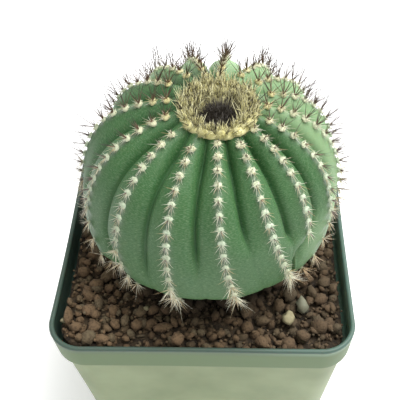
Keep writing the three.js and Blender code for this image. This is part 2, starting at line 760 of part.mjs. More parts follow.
const pottedCactus = new THREE.Group();
pottedCactus.add(makeMesh('pot', makePot(), '#9cac86', 0.45));
pottedCactus.add(makeMesh('soil', makeSoil(), '#5a483a', 0.95));
pottedCactus.add(plant);

export default pottedCactus;
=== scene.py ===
import bpy
import numpy as np
from mathutils import Matrix, Vector


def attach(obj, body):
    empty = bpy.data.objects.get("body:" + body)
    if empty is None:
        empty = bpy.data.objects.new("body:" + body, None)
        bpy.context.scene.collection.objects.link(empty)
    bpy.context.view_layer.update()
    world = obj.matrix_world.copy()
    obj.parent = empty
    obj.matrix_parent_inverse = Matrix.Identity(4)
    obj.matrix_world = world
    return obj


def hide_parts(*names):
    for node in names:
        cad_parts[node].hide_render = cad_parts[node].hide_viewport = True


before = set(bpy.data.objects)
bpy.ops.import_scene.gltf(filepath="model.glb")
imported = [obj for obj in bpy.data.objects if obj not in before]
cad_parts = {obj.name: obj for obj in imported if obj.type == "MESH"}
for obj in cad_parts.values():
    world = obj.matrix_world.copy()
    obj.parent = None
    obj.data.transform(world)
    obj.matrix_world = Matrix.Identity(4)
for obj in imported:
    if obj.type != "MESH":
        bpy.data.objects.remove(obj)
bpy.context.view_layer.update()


# The camera. It looks down at the plant from in front of the pot, 49 degrees below the
# horizon, where the photograph was taken from, and is rolled a little to one side.

EYE = (0.0070, -0.1457, 0.2629)
YAW, PITCH, ROLL = np.radians((-3.42, 49.0, -2.23))

camera = bpy.data.objects.new("camera", bpy.data.cameras.new("camera"))
camera.data.lens = 63.46
camera.data.sensor_width = 36
camera.data.clip_start = 0.01
camera.matrix_world = (
    Matrix.Translation(EYE) @ Matrix.Rotation(-YAW, 4, "Z")
    @ Matrix.Rotation(np.pi / 2 - PITCH, 4, "X") @ Matrix.Rotation(ROLL, 4, "Z")
)
bpy.context.collection.objects.link(camera)
bpy.context.scene.camera = camera


# The pot: a square nursery pot, injection moulded in thin green polypropylene. A stepped
# lip stiffens its rim, its wall tapers to a smaller base, and eight holes drain the floor.

HALF_WIDTH = 45
RIM_Z = 80
LIP_Z = 69.5
BASE_REACH = 30
RIM_REACH = 34.5
BASE_CORNER = 8.5
WALL_CORNER = 8.8
LIP_CORNER = 10.1
RIM_CORNER = 10.5
POT_WALL = 1.2
POT_FLOOR = 1.5
STEP_ROUND = 0.4
RIM_ROUND = 0.7
FLOOR_ROUND = 0.8
BOW = 0.35
RIM_WAVE = 0.12
RIM_ROW = 37
DRAINS = 8
DRAIN_RADIUS = 3.5
DRAIN_CIRCLE = 21
UP = np.array((0, 0, 1))


def level_way(bearing):
    """The level direction at a bearing in degrees, counted from the front to the right: its
    sine towards the right and its cosine towards the front."""
    angle = np.radians(bearing)
    return np.stack((np.sin(angle), -np.cos(angle), np.zeros(angle.shape)), axis=-1)


def rounded_square(reach, corner, z, per_corner=14, per_side=10):
    """Rings of a square with rounded corners: a quarter circle at each corner, joined by
    straight sides, for arrays of the corner centres' distance, the corner radius and z."""
    way = np.linspace(0, 1, per_side + 2)[1:-1, None]
    signs = np.array(((1, 1), (-1, 1), (-1, -1), (1, -1)))
    turns, centres = [], []
    for quarter in range(4):
        here, there = signs[quarter], signs[(quarter + 1) % 4]
        turns += [quarter + np.linspace(0, 1, per_corner), np.full(per_side, quarter + 1)]
        centres += [np.tile(here, (per_corner, 1)), here + way * (there - here)]
    angles = np.concatenate(turns) * np.pi / 2
    round_off = np.stack((np.cos(angles), np.sin(angles)), axis=-1)
    reach, corner, z = (np.reshape(part, (-1, 1, 1)) for part in (reach, corner, z))
    flat = np.concatenate(centres) * reach + round_off * corner
    return np.concatenate((flat, np.broadcast_to(z, flat.shape[:2] + (1,))), axis=-1)


def grid_faces(rows, columns):
    """Four-cornered faces between neighbouring points of a grid, closed round its rows."""
    row = np.arange(rows - 1)[:, None] * columns
    column = np.arange(columns)
    beside = (column + 1) % columns
    corners = (row + column, row + beside, row + columns + beside, row + columns + column)
    return np.stack(corners, axis=-1).reshape(-1, 4)


def make_piece(name, points, faces, copies=1):
    """A mesh object from points in millimetres and one array of faces for each size. The
    points are those of all copies of a shape, and the faces those of its first copy."""
    mesh = bpy.data.meshes.new(name)
    points = np.reshape(points, (-1, 3))
    shift = np.arange(copies)[:, None, None] * (len(points) // copies)
    faces = [(shift + part).reshape(-1, part.shape[1]) for part in faces]
    mesh.vertices.add(len(points))
    mesh.vertices.foreach_set("co", (0.001 * points).astype(np.float32).ravel())
    sizes = np.concatenate([np.full(len(part), part.shape[1]) for part in faces])
    corners = np.concatenate([part.ravel() for part in faces])
    mesh.loops.add(len(corners))
    mesh.loops.foreach_set("vertex_index", corners.astype(np.int32))
    mesh.polygons.add(len(sizes))
    starts = np.concatenate(([0], np.cumsum(sizes)[:-1]))
    mesh.polygons.foreach_set("loop_start", starts.astype(np.int32))
    mesh.polygons.foreach_set("use_smooth", np.full(len(sizes), True))
    mesh.update(calc_edges=True)
    made = bpy.data.objects.new(name, mesh)
    bpy.context.collection.objects.link(made)
    return made


def ring_piece(name, points):
    """A closed piece from rings of points, or from a stack of rings for each copy: faces
    between neighbouring rings, and a flat face across the first ring and the last."""
    rows, columns = points.shape[-3:-1]
    ring = np.arange(columns)[None]
    faces = [grid_faces(rows, columns), ring[:, ::-1], (rows - 1) * columns + ring]
    return make_piece(name, points, faces, points[..., 0, 0, 0].size)


def give_value(piece, name, values):
    """Keeps a number for each point of a piece, for its material to read. Fewer values
    than points each serve a run of them, such as a ring or a copy."""
    values = np.ravel(values)
    values = np.repeat(values, len(piece.data.vertices) // len(values))
    store = piece.data.attributes.new(name, "FLOAT", "POINT")
    store.data.foreach_set("value", values.astype(np.float32))


def linear(hex_colour):
    """The linear colour of an sRGB hex value: the usual curve with its straight foot."""
    parts = np.array([int(hex_colour[i:i + 2], 16) / 255 for i in (1, 3, 5)])
    curve = np.where(parts <= 0.04045, parts / 12.92, ((parts + 0.055) / 1.055) ** 2.4)
    return (*curve, 1.0)


def add_node(tree, kind, inputs=None, stops=(), **settings):
    """Adds one shader node. Settings are its properties. Inputs give a socket its value,
    its hex colour, or the output that feeds it, which is a node's first one when the node
    is given. Stops are the positions and hex colours of a ramp."""
    node = tree.nodes.new("ShaderNode" + kind)
    for name, value in settings.items():
        setattr(node, name, value)
    for name, value in (inputs or {}).items():
        if isinstance(value, bpy.types.Node):
            value = next(output for output in value.outputs if output.enabled)
        if isinstance(value, bpy.types.NodeSocket):
            tree.links.new(value, node.inputs[name])
        else:
            node.inputs[name].default_value = linear(value) if isinstance(value, str) else value
    for index, (position, colour) in enumerate(stops):
        ramp = node.color_ramp.elements
        stop = ramp[index] if index < 2 else ramp.new(position)
        stop.position, stop.color = position, linear(colour)
    return node


def blank_material(name, *stored):
    """A material, its empty node tree, and the outputs that read a piece's stored numbers."""
    material = bpy.data.materials.new(name)
    material.use_nodes = True
    tree = material.node_tree
    tree.nodes.clear()
    return material, tree, *(
        add_node(tree, "Attribute", attribute_name=value).outputs["Fac"] for value in stored
    )


# The profile of the wall: height and corner radius, from the foot up the outside past the
# lip's step, over the rim, and down the inside past the same step to the floor.
quarter_turn = np.linspace(0, np.pi / 2, 6)
half_turn = np.linspace(0, np.pi, 9)
rise, fall = np.sin(quarter_turn), 1 - np.cos(quarter_turn)
wall_z = np.linspace(1.6, LIP_Z - 0.8, 15)
lip_z = np.linspace(LIP_Z + 0.7, RIM_Z - 0.9, 5)
inner_lip_z = np.linspace(RIM_Z - 1.1, LIP_Z + 1.6, 5)
inner_wall_z = np.linspace(LIP_Z + 0.7, 2.6, 12)
lip_flare = (RIM_CORNER - LIP_CORNER) / (RIM_Z - LIP_Z)
wall_flare = (WALL_CORNER - BASE_CORNER) / LIP_Z
pot_z, pot_corner = np.concatenate([
    (fall, BASE_CORNER - 1 + rise),
    (wall_z, BASE_CORNER + wall_flare * wall_z),
    (LIP_Z - STEP_ROUND + STEP_ROUND * rise, WALL_CORNER + STEP_ROUND * fall),
    (LIP_Z + STEP_ROUND * fall, LIP_CORNER - STEP_ROUND + STEP_ROUND * rise),
    (lip_z, LIP_CORNER + lip_flare * (lip_z - LIP_Z)),
    (RIM_Z - RIM_ROUND + RIM_ROUND * np.sin(half_turn), RIM_CORNER - 0.75 + 0.75 * np.cos(half_turn)),
    (inner_lip_z, LIP_CORNER - POT_WALL + lip_flare * (inner_lip_z - LIP_Z)),
    ((LIP_Z + 1.2, LIP_Z + 1.0), (8.6, 7.7)),
    (inner_wall_z, BASE_CORNER - POT_WALL + wall_flare * inner_wall_z),
    (POT_FLOOR + FLOOR_ROUND - FLOOR_ROUND * rise, BASE_CORNER - POT_WALL - FLOOR_ROUND * fall),
], axis=1)
pot_reach = BASE_REACH + (RIM_REACH - BASE_REACH) * np.minimum(pot_z / LIP_Z, 1)
pot_points = rounded_square(pot_reach, pot_corner, pot_z)


def drawn_out(points):
    """The soft pot is out of square in the photograph: its sides stand a little outwards,
    by a share that grows with x, and the near left corner most, by a share that grows with
    the fourth power of the way to it. All fade towards the base."""
    left = np.clip(-points[..., 0] / HALF_WIDTH, 0, 1.05)
    right = np.clip(points[..., 0] / HALF_WIDTH, 0, 1.05)
    near = np.clip(-points[..., 1] / HALF_WIDTH, 0, 1.05)
    high = np.clip(points[..., 2] / RIM_Z, 0, 1.1) ** 2
    moved = points.copy()
    moved[..., 0] -= high * (0.8 * left + 1.5 * left ** 2 * near ** 2 - 0.3 * right ** 2)
    moved[..., 1] -= high * 0.4 * left ** 2 * near ** 2
    return moved


# A thin moulding is never quite true: its sides bow a little and its rim waves.
around = np.arctan2(pot_points[..., 1], pot_points[..., 0])
bow = BOW * np.cos(2 * around + 0.6) * (pot_points[..., 2] / RIM_Z) ** 2
pot_points[..., :2] *= 1 - 0.01 * np.abs(bow)[..., None]
pot_points[..., 2] -= RIM_WAVE * (1 + np.sin(3 * around + 1)) * (pot_points[..., 2] / RIM_Z) ** 8
pot_points = drawn_out(pot_points)
pot = ring_piece("pot_shell", pot_points)
# Ring RIM_ROW of the profile is the last one outside the rim.
give_value(pot, "inside", np.clip(np.arange(len(pot_z)) - RIM_ROW + 0.5, 0, 1))
give_value(pot, "lip", np.clip((pot_points[..., 2] - LIP_Z + 0.2) / 0.6, 0, 1))
# Painted light and shade on the inside: sunken grades the inner wall from pale under the rim to darker
# below, and lit_through paints the right side pale.
give_value(pot, "sunken", np.clip((RIM_Z - 1.0 - pot_points[..., 2]) / 2.6, 0, 1))
give_value(pot, "lit_through", np.clip(pot_points[..., 0] / 25 - 0.5, 0, 1))

# The drain holes are cut by eight round cutters, which are then thrown away.
drain_ring = DRAIN_RADIUS * level_way(90 + 15 * np.arange(24))
drain_centre = DRAIN_CIRCLE * level_way(112.5 + 45 * np.arange(DRAINS))
drain_ends = np.array((-2, 3))[:, None, None] * UP
cutter = ring_piece("drain_cutter", drain_centre[:, None, None] + drain_ring + drain_ends)
cut = pot.modifiers.new("drain_holes", "BOOLEAN")
cut.operation = "DIFFERENCE"
cut.solver = "EXACT"
cut.object = cutter
bpy.context.view_layer.update()
drilled = pot.evaluated_get(bpy.context.evaluated_depsgraph_get())
pot.data = bpy.data.meshes.new_from_object(drilled)
pot.modifiers.clear()
bpy.data.objects.remove(cutter, do_unlink=True)

# Polypropylene: satin and slightly translucent. The outer wall and the upper part of the inner
# one are painted pale for the light that comes through them, most so on the right, and the
# inner wall is painted darker lower down, as painted shade. The rim and the rest of the inside
# show the plastic's own dark green.
polypropylene, tree, within, lip_share, sunken, lit_through = blank_material(
    "moulded_polypropylene", "inside", "lip", "sunken", "lit_through"
)
place = add_node(tree, "TexCoord").outputs["Object"]
cloudy = add_node(tree, "TexNoise", {"Vector": place, "Scale": 45, "Detail": 3, "Roughness": 0.6})
# Painted light: the outer wall's pale green stands for the light that comes through the plastic.
outer_green = add_node(tree, "ValToRGB", {"Fac": cloudy}, ((0.3, "#6d7a53"), (0.75, "#84906a")))
outside_green = add_node(tree, "Mix", {
    "Factor": lip_share, "A": outer_green, "B": "#53693f",
}, data_type="RGBA")
rim_green = add_node(tree, "Mix", {"Factor": sunken, "A": "#3f5247", "B": "#384a40"}, data_type="RGBA")
# Painted light on the upper inner wall, where light comes through, and painted shade darker further down.
painted_light_green = add_node(tree, "ValToRGB", {"Fac": sunken}, (
    (0, "#476055"), (0.12, "#8aa899"), (0.45, "#7f9c8d"), (1, "#5f7a69"),
))
wall_green = add_node(tree, "Mix", {
    "Factor": lit_through, "A": rim_green, "B": painted_light_green,
}, data_type="RGBA")
dirt = add_node(tree, "TexNoise", {"Vector": place, "Scale": 260, "Detail": 4, "Roughness": 0.7})
dirt_amount = add_node(tree, "MapRange", {
    "Value": dirt, "From Min": 0.58, "From Max": 0.8, "To Max": 0.5,
})
inner_green = add_node(tree, "Mix", {
    "Factor": dirt_amount, "A": wall_green, "B": "#544c3a",
}, data_type="RGBA")
pot_colour = add_node(tree, "Mix", {
    "Factor": within, "A": outside_green, "B": inner_green,
}, data_type="RGBA")
moulded = add_node(tree, "Bump", {"Height": dirt, "Strength": 0.12, "Distance": 0.0002})
plastic = add_node(tree, "BsdfPrincipled", {
    "Base Color": pot_colour, "Roughness": 0.5, "IOR": 1.49,
    "Subsurface Weight": 0.12, "Subsurface Scale": 0.002, "Normal": moulded,
})
add_node(tree, "OutputMaterial", {"Surface": plastic})
pot.data.materials.append(polypropylene)
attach(pot, "root")
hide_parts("pot")


# The planting mix: a bed of fine dark lava dust and grit that fills the pot to 5 mm
# below the rim, with a small heap near the front left corner.

SOIL_Z = 73.6
HEAP_X, HEAP_Y = -34, -36
HEAP_HEIGHT = 2.6
HEAP_SPREAD = 9
BANK_HEIGHT = 1.2
WAVE_HEIGHT = 0.35
BED_CORNER = 7.4
SIDE_ROWS = 6
TOP_ROWS = 60


def soil_height(x, y):
    """Height of the bed: level, with a bell-shaped heap, low overlapping waves and a bank
    along the left wall."""
    away = (x - HEAP_X) ** 2 + (y - HEAP_Y) ** 2
    heap = HEAP_HEIGHT * np.exp(-away / (2 * HEAP_SPREAD ** 2))
    waves = np.sin(0.31 * x + 1.3) * np.cos(0.27 * y) + np.sin(0.17 * x - 0.23 * y)
    return SOIL_Z + heap + WAVE_HEIGHT * waves + BANK_HEIGHT * np.clip((-x - 22) / 18, 0, 1)


bed_steps = np.linspace(1, 0.004, TOP_ROWS)
bed_points = rounded_square(
    np.concatenate((np.linspace(BASE_REACH, RIM_REACH, SIDE_ROWS), RIM_REACH * bed_steps)),
    np.concatenate((np.linspace(7, BED_CORNER, SIDE_ROWS), BED_CORNER * bed_steps)),
    np.concatenate((np.linspace(POT_FLOOR, 72, SIDE_ROWS), np.full(TOP_ROWS, SOIL_Z))), 20, 22,
)
dice = np.random.default_rng(3)
bed_top = soil_height(bed_points[SIDE_ROWS:, :, 0], bed_points[SIDE_ROWS:, :, 1])
bed_points[SIDE_ROWS:, :, 2] = bed_top + dice.uniform(-0.35, 0.35, bed_top.shape)
bed_points[-1, :, 2] = SOIL_Z
bed = ring_piece("grit_bed", drawn_out(bed_points))

# Crushed lava: matt and porous, in small cells from near black to red-brown.
# Its pores are 0.2 to 0.5 mm, which is about as fine as the picture can show.
dark_grit, tree = blank_material("dark_lava_dust")
place = add_node(tree, "TexCoord").outputs["Object"]
crumbs = add_node(tree, "TexVoronoi", {"Vector": place, "Scale": 900})
crumb_colour = add_node(
    tree, "ValToRGB", {"Fac": crumbs.outputs["Color"]}, ((0, "#17120c"), (1, "#4f402d"))
)
crumb_relief = add_node(tree, "Bump", {
    "Height": crumbs.outputs["Distance"], "Strength": 0.8, "Distance": 0.0006,
})
dust = add_node(tree, "BsdfPrincipled", {
    "Base Color": crumb_colour, "Roughness": 0.95, "Normal": crumb_relief,
})
add_node(tree, "OutputMaterial", {"Surface": dust})
bed.data.materials.append(dark_grit)
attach(bed, "root")
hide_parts("soil")


# The grains: loose lumps of lava 2 to 6 mm across, tumbled until their edges are blunt,
# that lie over each other on the bed, with smaller crumbs and a few paler stones.

PLANT_X, PLANT_Y = 0.2, 0.8
FOOT_ROOM = 13.5
WALL_ROOM = 8.0


def unit_grain(columns, rows):
    """A round lump: points on rings between two poles, and the faces that join them."""
    down = np.pi * np.arange(1, rows + 1)[:, None] / (rows + 1)
    turn = 2 * np.pi * np.arange(columns) / columns
    rings = np.stack(np.broadcast_arrays(
        -np.sin(down) * np.cos(turn), np.sin(down) * np.sin(turn), np.cos(down),
    ), axis=-1).reshape(-1, 3)
    here = np.arange(columns)
    beside = (here + 1) % columns
    north, south = len(rings), len(rings) + 1
    last = (rows - 1) * columns
    tops = np.stack((np.full(columns, north), beside, here), axis=-1)
    ends = np.stack((np.full(columns, south), last + here, last + beside), axis=-1)
    faces = [grid_faces(rows, columns), np.concatenate((tops, ends))]
    return np.concatenate((rings, (UP, -UP))), faces


def unit(vectors):
    """Vectors divided by their lengths."""
    return vectors / np.linalg.norm(vectors, axis=-1, keepdims=True)


def turned(shapes, dice):
    """Shapes, each turned by its own random quaternion: to a point is added twice the
    product of its axis and the point, times its real part, and that product's own."""
    quaternion = unit(dice.normal(size=(len(shapes), 1, 4)))
    real, axis = quaternion[..., :1], quaternion[..., 1:]
    twice = 2 * np.cross(axis, shapes)
    return shapes + real * twice + np.cross(axis, twice)


def smooth_step(start, end, value):
    """Three times the square less twice the cube of the way from start to end."""
    share = np.clip((value - start) / (end - start), 0, 1)
    return share * share * (3 - 2 * share)


def scatter(name, centres, radii, dice, columns=9, rows=5, roughness=0.2):
    """Grains with uneven axes and a random reach for each point, at given centres. They
    are painted darker as painted shade where they lie deep, on the right, and in the
    plant's shadow, which is weaker on its left."""
    shape, faces = unit_grain(columns, rows)
    count = len(centres)
    axes = dice.uniform((0.9, 0.65, 0.55), (1.3, 0.95, 0.85), (count, 3))
    reach = 1 + roughness * dice.uniform(-1, 1, (count, len(shape), 1))
    lumps = shape * reach * axes[:, None] * radii[:, None, None]
    points = turned(lumps, dice) + drawn_out(centres)[:, None]
    piece = make_piece(name, points, faces, count)
    give_value(piece, "tone", dice.random(count))
    # Painted shade: deep grains, the plant's shadow and the right side are marked to be darkened.
    deep = np.clip((SOIL_Z + 3 - points[..., 2]) / 4, 0, 1)
    away = np.hypot(points[..., 0] - PLANT_X, points[..., 1] - PLANT_Y)
    shade = smooth_step(39, 27, away) * (1 - 0.45 * smooth_step(-16, -30, points[..., 0]))
    painted_shade = np.maximum(shade, 0.56 * smooth_step(10, 28, points[..., 0]))
    give_value(piece, "depth", np.maximum(deep, painted_shade))
    return piece


def grain_sites(spacing, jitter, lift, radii, dice, share=1):
    """Centres and radii of a share of the grains on a shuffled triangular grid inside the
    pot and outside the plant's foot. Each centre lies lift above the bed."""
    count = int(2 * HALF_WIDTH / spacing)
    row, column = np.mgrid[-count:count + 1, -count:count + 1]
    x = (column + 0.5 * (row % 2)) * spacing
    y = row * spacing * np.sqrt(3) / 2
    x = (x + jitter * spacing * dice.uniform(-1, 1, x.shape)).ravel()
    y = (y + jitter * spacing * dice.uniform(-1, 1, y.shape)).ravel()
    radius = dice.uniform(*radii, x.size) * dice.uniform(0.8, 1, x.size)
    out_x = np.maximum(np.abs(x) - RIM_REACH, 0)
    out_y = np.maximum(np.abs(y) - RIM_REACH, 0)
    room = WALL_ROOM - np.hypot(out_x, out_y)
    away = np.hypot(x - PLANT_X, y - PLANT_Y)
    kept = (room > 0.95 * radius) & (away > FOOT_ROOM + radius)
    z = soil_height(x, y) + lift[0] + (lift[1] - lift[0]) * dice.random(x.size)
    sites = np.stack((x, y, z, radius), axis=-1)[kept]
    if share < 1:
        sites = sites[dice.random(len(sites)) < share]
    return sites


dice = np.random.default_rng(17)
low_sites = grain_sites(3.3, 0.32, (-0.4, 0.6), (1.2, 2.1), dice)
top_sites = grain_sites(4.1, 0.42, (1.2, 2.3), (1.3, 2.6), dice, 0.8)
few_sites = grain_sites(9.5, 0.45, (2.6, 3.4), (2.1, 3.1), dice, 0.4)
fine_sites = grain_sites(2.0, 0.5, (0.9, 2.6), (0.45, 0.9), dice, 0.75)
grain_places = np.concatenate((low_sites, top_sites, few_sites))
large_grains = scatter("lava_grains", grain_places[:, :3], grain_places[:, 3], dice)
fine_grains = scatter("lava_crumbs", fine_sites[:, :3], fine_sites[:, 3], dice, 6, 2, 0.28)

# Each pale stone has a place, a radius and a share of cream.
stones = np.array((
    (25.6, -31.6, 77.2, 1.9, 1.0), (30.1, -27.0, 77.0, 2.4, 0.1), (38.5, 4.0, 76.4, 1.8, 0.0),
    (-18.1, -28.4, 76.0, 1.2, 0.9), (-40.4, -34.0, 78.4, 1.6, 0.8), (-30.0, 30.0, 76.2, 2.0, 0.3),
    (12.0, 36.0, 76.5, 2.1, 0.6), (36.0, 30.0, 76.4, 1.7, 0.2),
))
pale_stones = scatter("pale_stones", stones[:, :3], stones[:, 3], dice, 9, 4, 0.34)
give_value(pale_stones, "cream", stones[:, 4])

# Lava: the same rock as the dust, in grains of uneven browns with dark pores.
lava, tree, tone, sunk = blank_material("tumbled_lava", "tone", "depth")
place = add_node(tree, "TexCoord").outputs["Object"]
pores = add_node(tree, "TexNoise", {"Vector": place, "Scale": 1300, "Detail": 3, "Roughness": 0.65})
patches = add_node(tree, "TexNoise", {"Vector": place, "Scale": 240, "Detail": 2})
pore_dark = add_node(tree, "MapRange", {
    "Value": pores, "From Min": 0.35, "From Max": 0.5, "To Min": 0.6, "To Max": 0.0,
})
lava_colour = add_node(tree, "ValToRGB", {"Fac": tone}, (
    (0, "#755f47"), (0.3, "#80684d"), (0.5, "#8d7256"),
    (0.72, "#786a51"), (0.88, "#6b634d"), (1, "#837a63"),
))
# The stored depth is painted shade: it darkens the grains that lie deep, under the plant and on the right.
for share, colour in ((patches, "#665138"), (pore_dark, "#3a2d1f"), (sunk, "#372c1e")):
    lava_colour = add_node(tree, "Mix", {
        "Factor": share, "A": lava_colour, "B": colour,
    }, data_type="RGBA")
pore_relief = add_node(tree, "Bump", {"Height": pores, "Strength": 0.9, "Distance": 0.0005})
lava_shader = add_node(tree, "BsdfPrincipled", {
    "Base Color": lava_colour, "Roughness": 0.9, "Normal": pore_relief,
})
add_node(tree, "OutputMaterial", {"Surface": lava_shader})

# Pumice and limestone chips: smoother, cream to grey-green.
chips, tree, cream = blank_material("pale_stone_chips", "cream")
place = add_node(tree, "TexCoord").outputs["Object"]
chip_colour = add_node(tree, "ValToRGB", {"Fac": cream}, ((0, "#7f8677"), (1, "#b5ab84")))
chip_grain = add_node(tree, "TexNoise", {"Vector": place, "Scale": 700, "Detail": 4})
chip_mix = add_node(tree, "Mix", {
    "Factor": chip_grain, "A": chip_colour, "B": "#6f6850",
}, data_type="RGBA")
chip_relief = add_node(tree, "Bump", {"Height": chip_grain, "Strength": 0.4, "Distance": 0.0004})
chip_shader = add_node(tree, "BsdfPrincipled", {
    "Base Color": chip_mix, "Roughness": 0.75, "Normal": chip_relief,
})
add_node(tree, "OutputMaterial", {"Surface": chip_shader})
for grains, finish in ((large_grains, lava), (fine_grains, lava), (pale_stones, chips)):
    grains.data.materials.append(finish)
    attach(grains, "root")
    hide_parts("soil")


# The stem: a squat globe of sixteen fleshy ribs under one waxy green skin. The grooves
# are deep near the crown and fade out on the belly, and the third rib is pinched short.

STEM_LEAN = 0.055
LEAN_FROM_Z = 75
CREST_RADIUS = 38.4
EQUATOR_Z = 95.4
CROWN_RISE = 39.7
BELLY_DROP = 20.7
TOP_POWER = 2.73
BELLY_POWER = 1.36
CROWN_RADIUS = 10.6
FOOT_RADIUS = 13
GROOVE_DEPTH = 6.4
GROOVE_LAST = 0.7
FLANK_STRAIGHT = 0.3
CREST_ROUND = 0.006
TUFT_SWELL = 0.22
SHORT_RIB = 2
SHORT_RIB_END = 39
SHORT_RIB_SINK = 1.8
PINCH_TURN = -6
RIB_BEARING = np.array((3, 24, 46, 66, 86, 106, 128, 150, 174, 195, 215, 237, 265, 292, 316, 340))
RIB_BEND = np.array((11, 17, 1, -6, 0, 0, 0, 0, 0, 0, 0, 0, 0, 0, 2, 7))
RIB_TUCK = np.array((0, 0, 0, -14, 0, 0, 0, 0, 0, 0, 0, 0, 0, 16, 10, 0))
RIB_SWELL = np.array((0, 0, 0, 0, 0, 0, 0, 0, 0.8, 0.8, 0.8, 0.7, 1.4, 0.4, 0, 0))
RIBS = len(RIB_BEARING)
FIRST_TUFT = np.array((4.7, 6.3, 3.8, 5.4, 3.6, 5.4, 4.6, 3.4, 1.7, 1.6, 3.9, 5.3, 2.9, 3.7, 5.7, 7.2))
TUFT_SPACING = 3.77
TUFT_GROWTH = 0.0035
GROOVE_END = np.array((39, 41, 53, 48, 47, 46, 48, 45, 47, 46, 48, 45, 47, 70, 53, 46))
GROOVE_FADE = np.where(np.arange(RIBS) == SHORT_RIB - 1, 6, 11)

outline_angle = np.linspace(0, np.pi, 2400)[1:-1]
above = outline_angle < np.pi / 2
outline_power = 2 / np.where(above, TOP_POWER, BELLY_POWER)
outline_radius = CREST_RADIUS * np.sin(outline_angle) ** outline_power
outline_rise = np.where(above, CROWN_RISE, -BELLY_DROP) * np.abs(np.cos(outline_angle)) ** outline_power
outline_kept = outline_radius >= np.where(above, CROWN_RADIUS, FOOT_RADIUS)
outline = np.stack((outline_radius, EQUATOR_Z + outline_rise))[:, outline_kept]
walked = np.append(0, np.cumsum(np.hypot(*np.diff(outline))))
CREST_LENGTH = walked[-1]

# The edge where the two quarters meet is rounded by a moving average over 9 mm.
outline_length = np.linspace(0, CREST_LENGTH, 1201)
average = np.hanning(2 * round(4.5 / outline_length[1]) + 1)
half_window = len(average) // 2
outline = [
    np.convolve(
        np.pad(np.interp(outline_length, walked, part), half_window, "reflect", reflect_type="odd"),
        average / average.sum(), mode="valid",
    )
    for part in outline
]


def crest_profile(distance):
    """Radius and height of the crest, a superellipse walked from the crown's edge to the
    foot, and the radial and upright parts of its outward direction."""
    ahead = np.clip(distance + 0.4, 0.8, CREST_LENGTH)
    (radius, ahead_radius, behind_radius), (height, ahead_height, behind_height) = (
        [np.interp(at, outline_length, part) for at in (distance, ahead, ahead - 0.8)]
        for part in outline
    )
    run, fall = ahead_radius - behind_radius, ahead_height - behind_height
    size = np.hypot(run, fall)
    return radius, height, -fall / size, run / size


def crest_bearing(rib, distance):
    """Bearing of a rib's crest: its own, a bend that grows with the square of the way
    down, and for some a tuck under the belly. Below its end the short rib is drawn aside."""
    bent = RIB_BEND[rib] * np.clip((distance - 14) / 44, 0, 1.1) ** 2
    tucked = RIB_TUCK[rib] * smooth_step(42, 60, distance)
    drawn = np.where(rib == SHORT_RIB, PINCH_TURN, 0) * smooth_step(38, 49, distance)
    return RIB_BEARING[rib] + bent + tucked + drawn


def groove_bearing(rib, distance):
    """Bearing of the groove after a rib: midway to the next rib, and close beside the
    short one beyond its end, which keeps a tenth of its width there."""
    beyond = (rib + 1) % RIBS
    here = crest_bearing(rib, distance)
    there = crest_bearing(beyond, distance) + np.where(beyond == 0, 360, 0)
    width = np.where(rib == SHORT_RIB, 1 - 0.9 * smooth_step(35, 46, distance), 1)
    return here + 0.5 * (there - here) * width


def groove_depth(groove, distance):
    """Depth of the grooves: it rises from the crown, stays, and fades on the belly."""
    opening = np.clip(distance / 10, 0, 1) ** 0.7
    end = GROOVE_END[groove]
    fading = 1 - smooth_step(end - GROOVE_FADE[groove], end, distance)
    foot = 1 - smooth_step(CREST_LENGTH - 10, CREST_LENGTH, distance)
    return GROOVE_DEPTH * opening * fading + GROOVE_LAST * (1 - fading) * foot


def tuft_phase(rib, distance):
    """How many tufts lie between a rib's first and a distance, by solving the quadratic
    that sets their spacing."""
    beyond = np.maximum((distance - FIRST_TUFT[rib]) / TUFT_SPACING, -0.99)
    return (np.sqrt(1 + 4 * TUFT_GROWTH * beyond) - 1) / (2 * TUFT_GROWTH)


def stem_point(rib, side, distance):
    """A point of the skin. The crest point is turned towards the groove and drawn inwards
    by its depth times a flank that is part straight and part a power, whose exponent
    grows from 3.5 to 8 down the rib: the grooves open wide above and are creases below."""
    radius, height, radial, rising = crest_profile(distance)
    bearing = crest_bearing(rib, distance)
    before = (rib - 1) % RIBS
    left = groove_bearing(before, distance) - np.where(rib == 0, 360, 0)
    right = groove_bearing(rib, distance)
    turned_to = bearing + side * np.where(side < 0, bearing - left, right - bearing)
    off = np.sqrt(side ** 2 + CREST_ROUND) - np.sqrt(CREST_ROUND)
    power = 3.5 + 4.5 * smooth_step(6, 30, distance)
    groove = np.where(side < 0, before, rib)
    flank = FLANK_STRAIGHT * off + (1 - FLANK_STRAIGHT) * off ** power
    swelling = np.cos(2 * np.pi * tuft_phase(rib, distance)) * np.exp(-(side / 0.2) ** 2)
    swelling = swelling * smooth_step(62, 58, distance)
    sunk = smooth_step(SHORT_RIB_END, SHORT_RIB_END + 7, distance) * smooth_step(61, 54, distance)
    sunk = np.where(rib == SHORT_RIB, SHORT_RIB_SINK, 0) * sunk * (1 - np.abs(side))
    depth = groove_depth(groove, distance) * flank - TUFT_SWELL * swelling + sunk
    beside = (rib + np.where(side < 0, -1, 1)) % RIBS
    outwards = RIB_SWELL[rib] + (RIB_SWELL[beside] - RIB_SWELL[rib]) * np.abs(side) / 2
    radius = radius + outwards * smooth_step(4, 24, distance) - depth * radial
    height = height - depth * rising
    angle = np.radians(turned_to)
    lean = STEM_LEAN * np.maximum(height - LEAN_FROM_Z, 0)
    x = PLANT_X + lean + radius * np.sin(angle)
    return np.stack((x, PLANT_Y - radius * np.cos(angle), height), axis=-1)


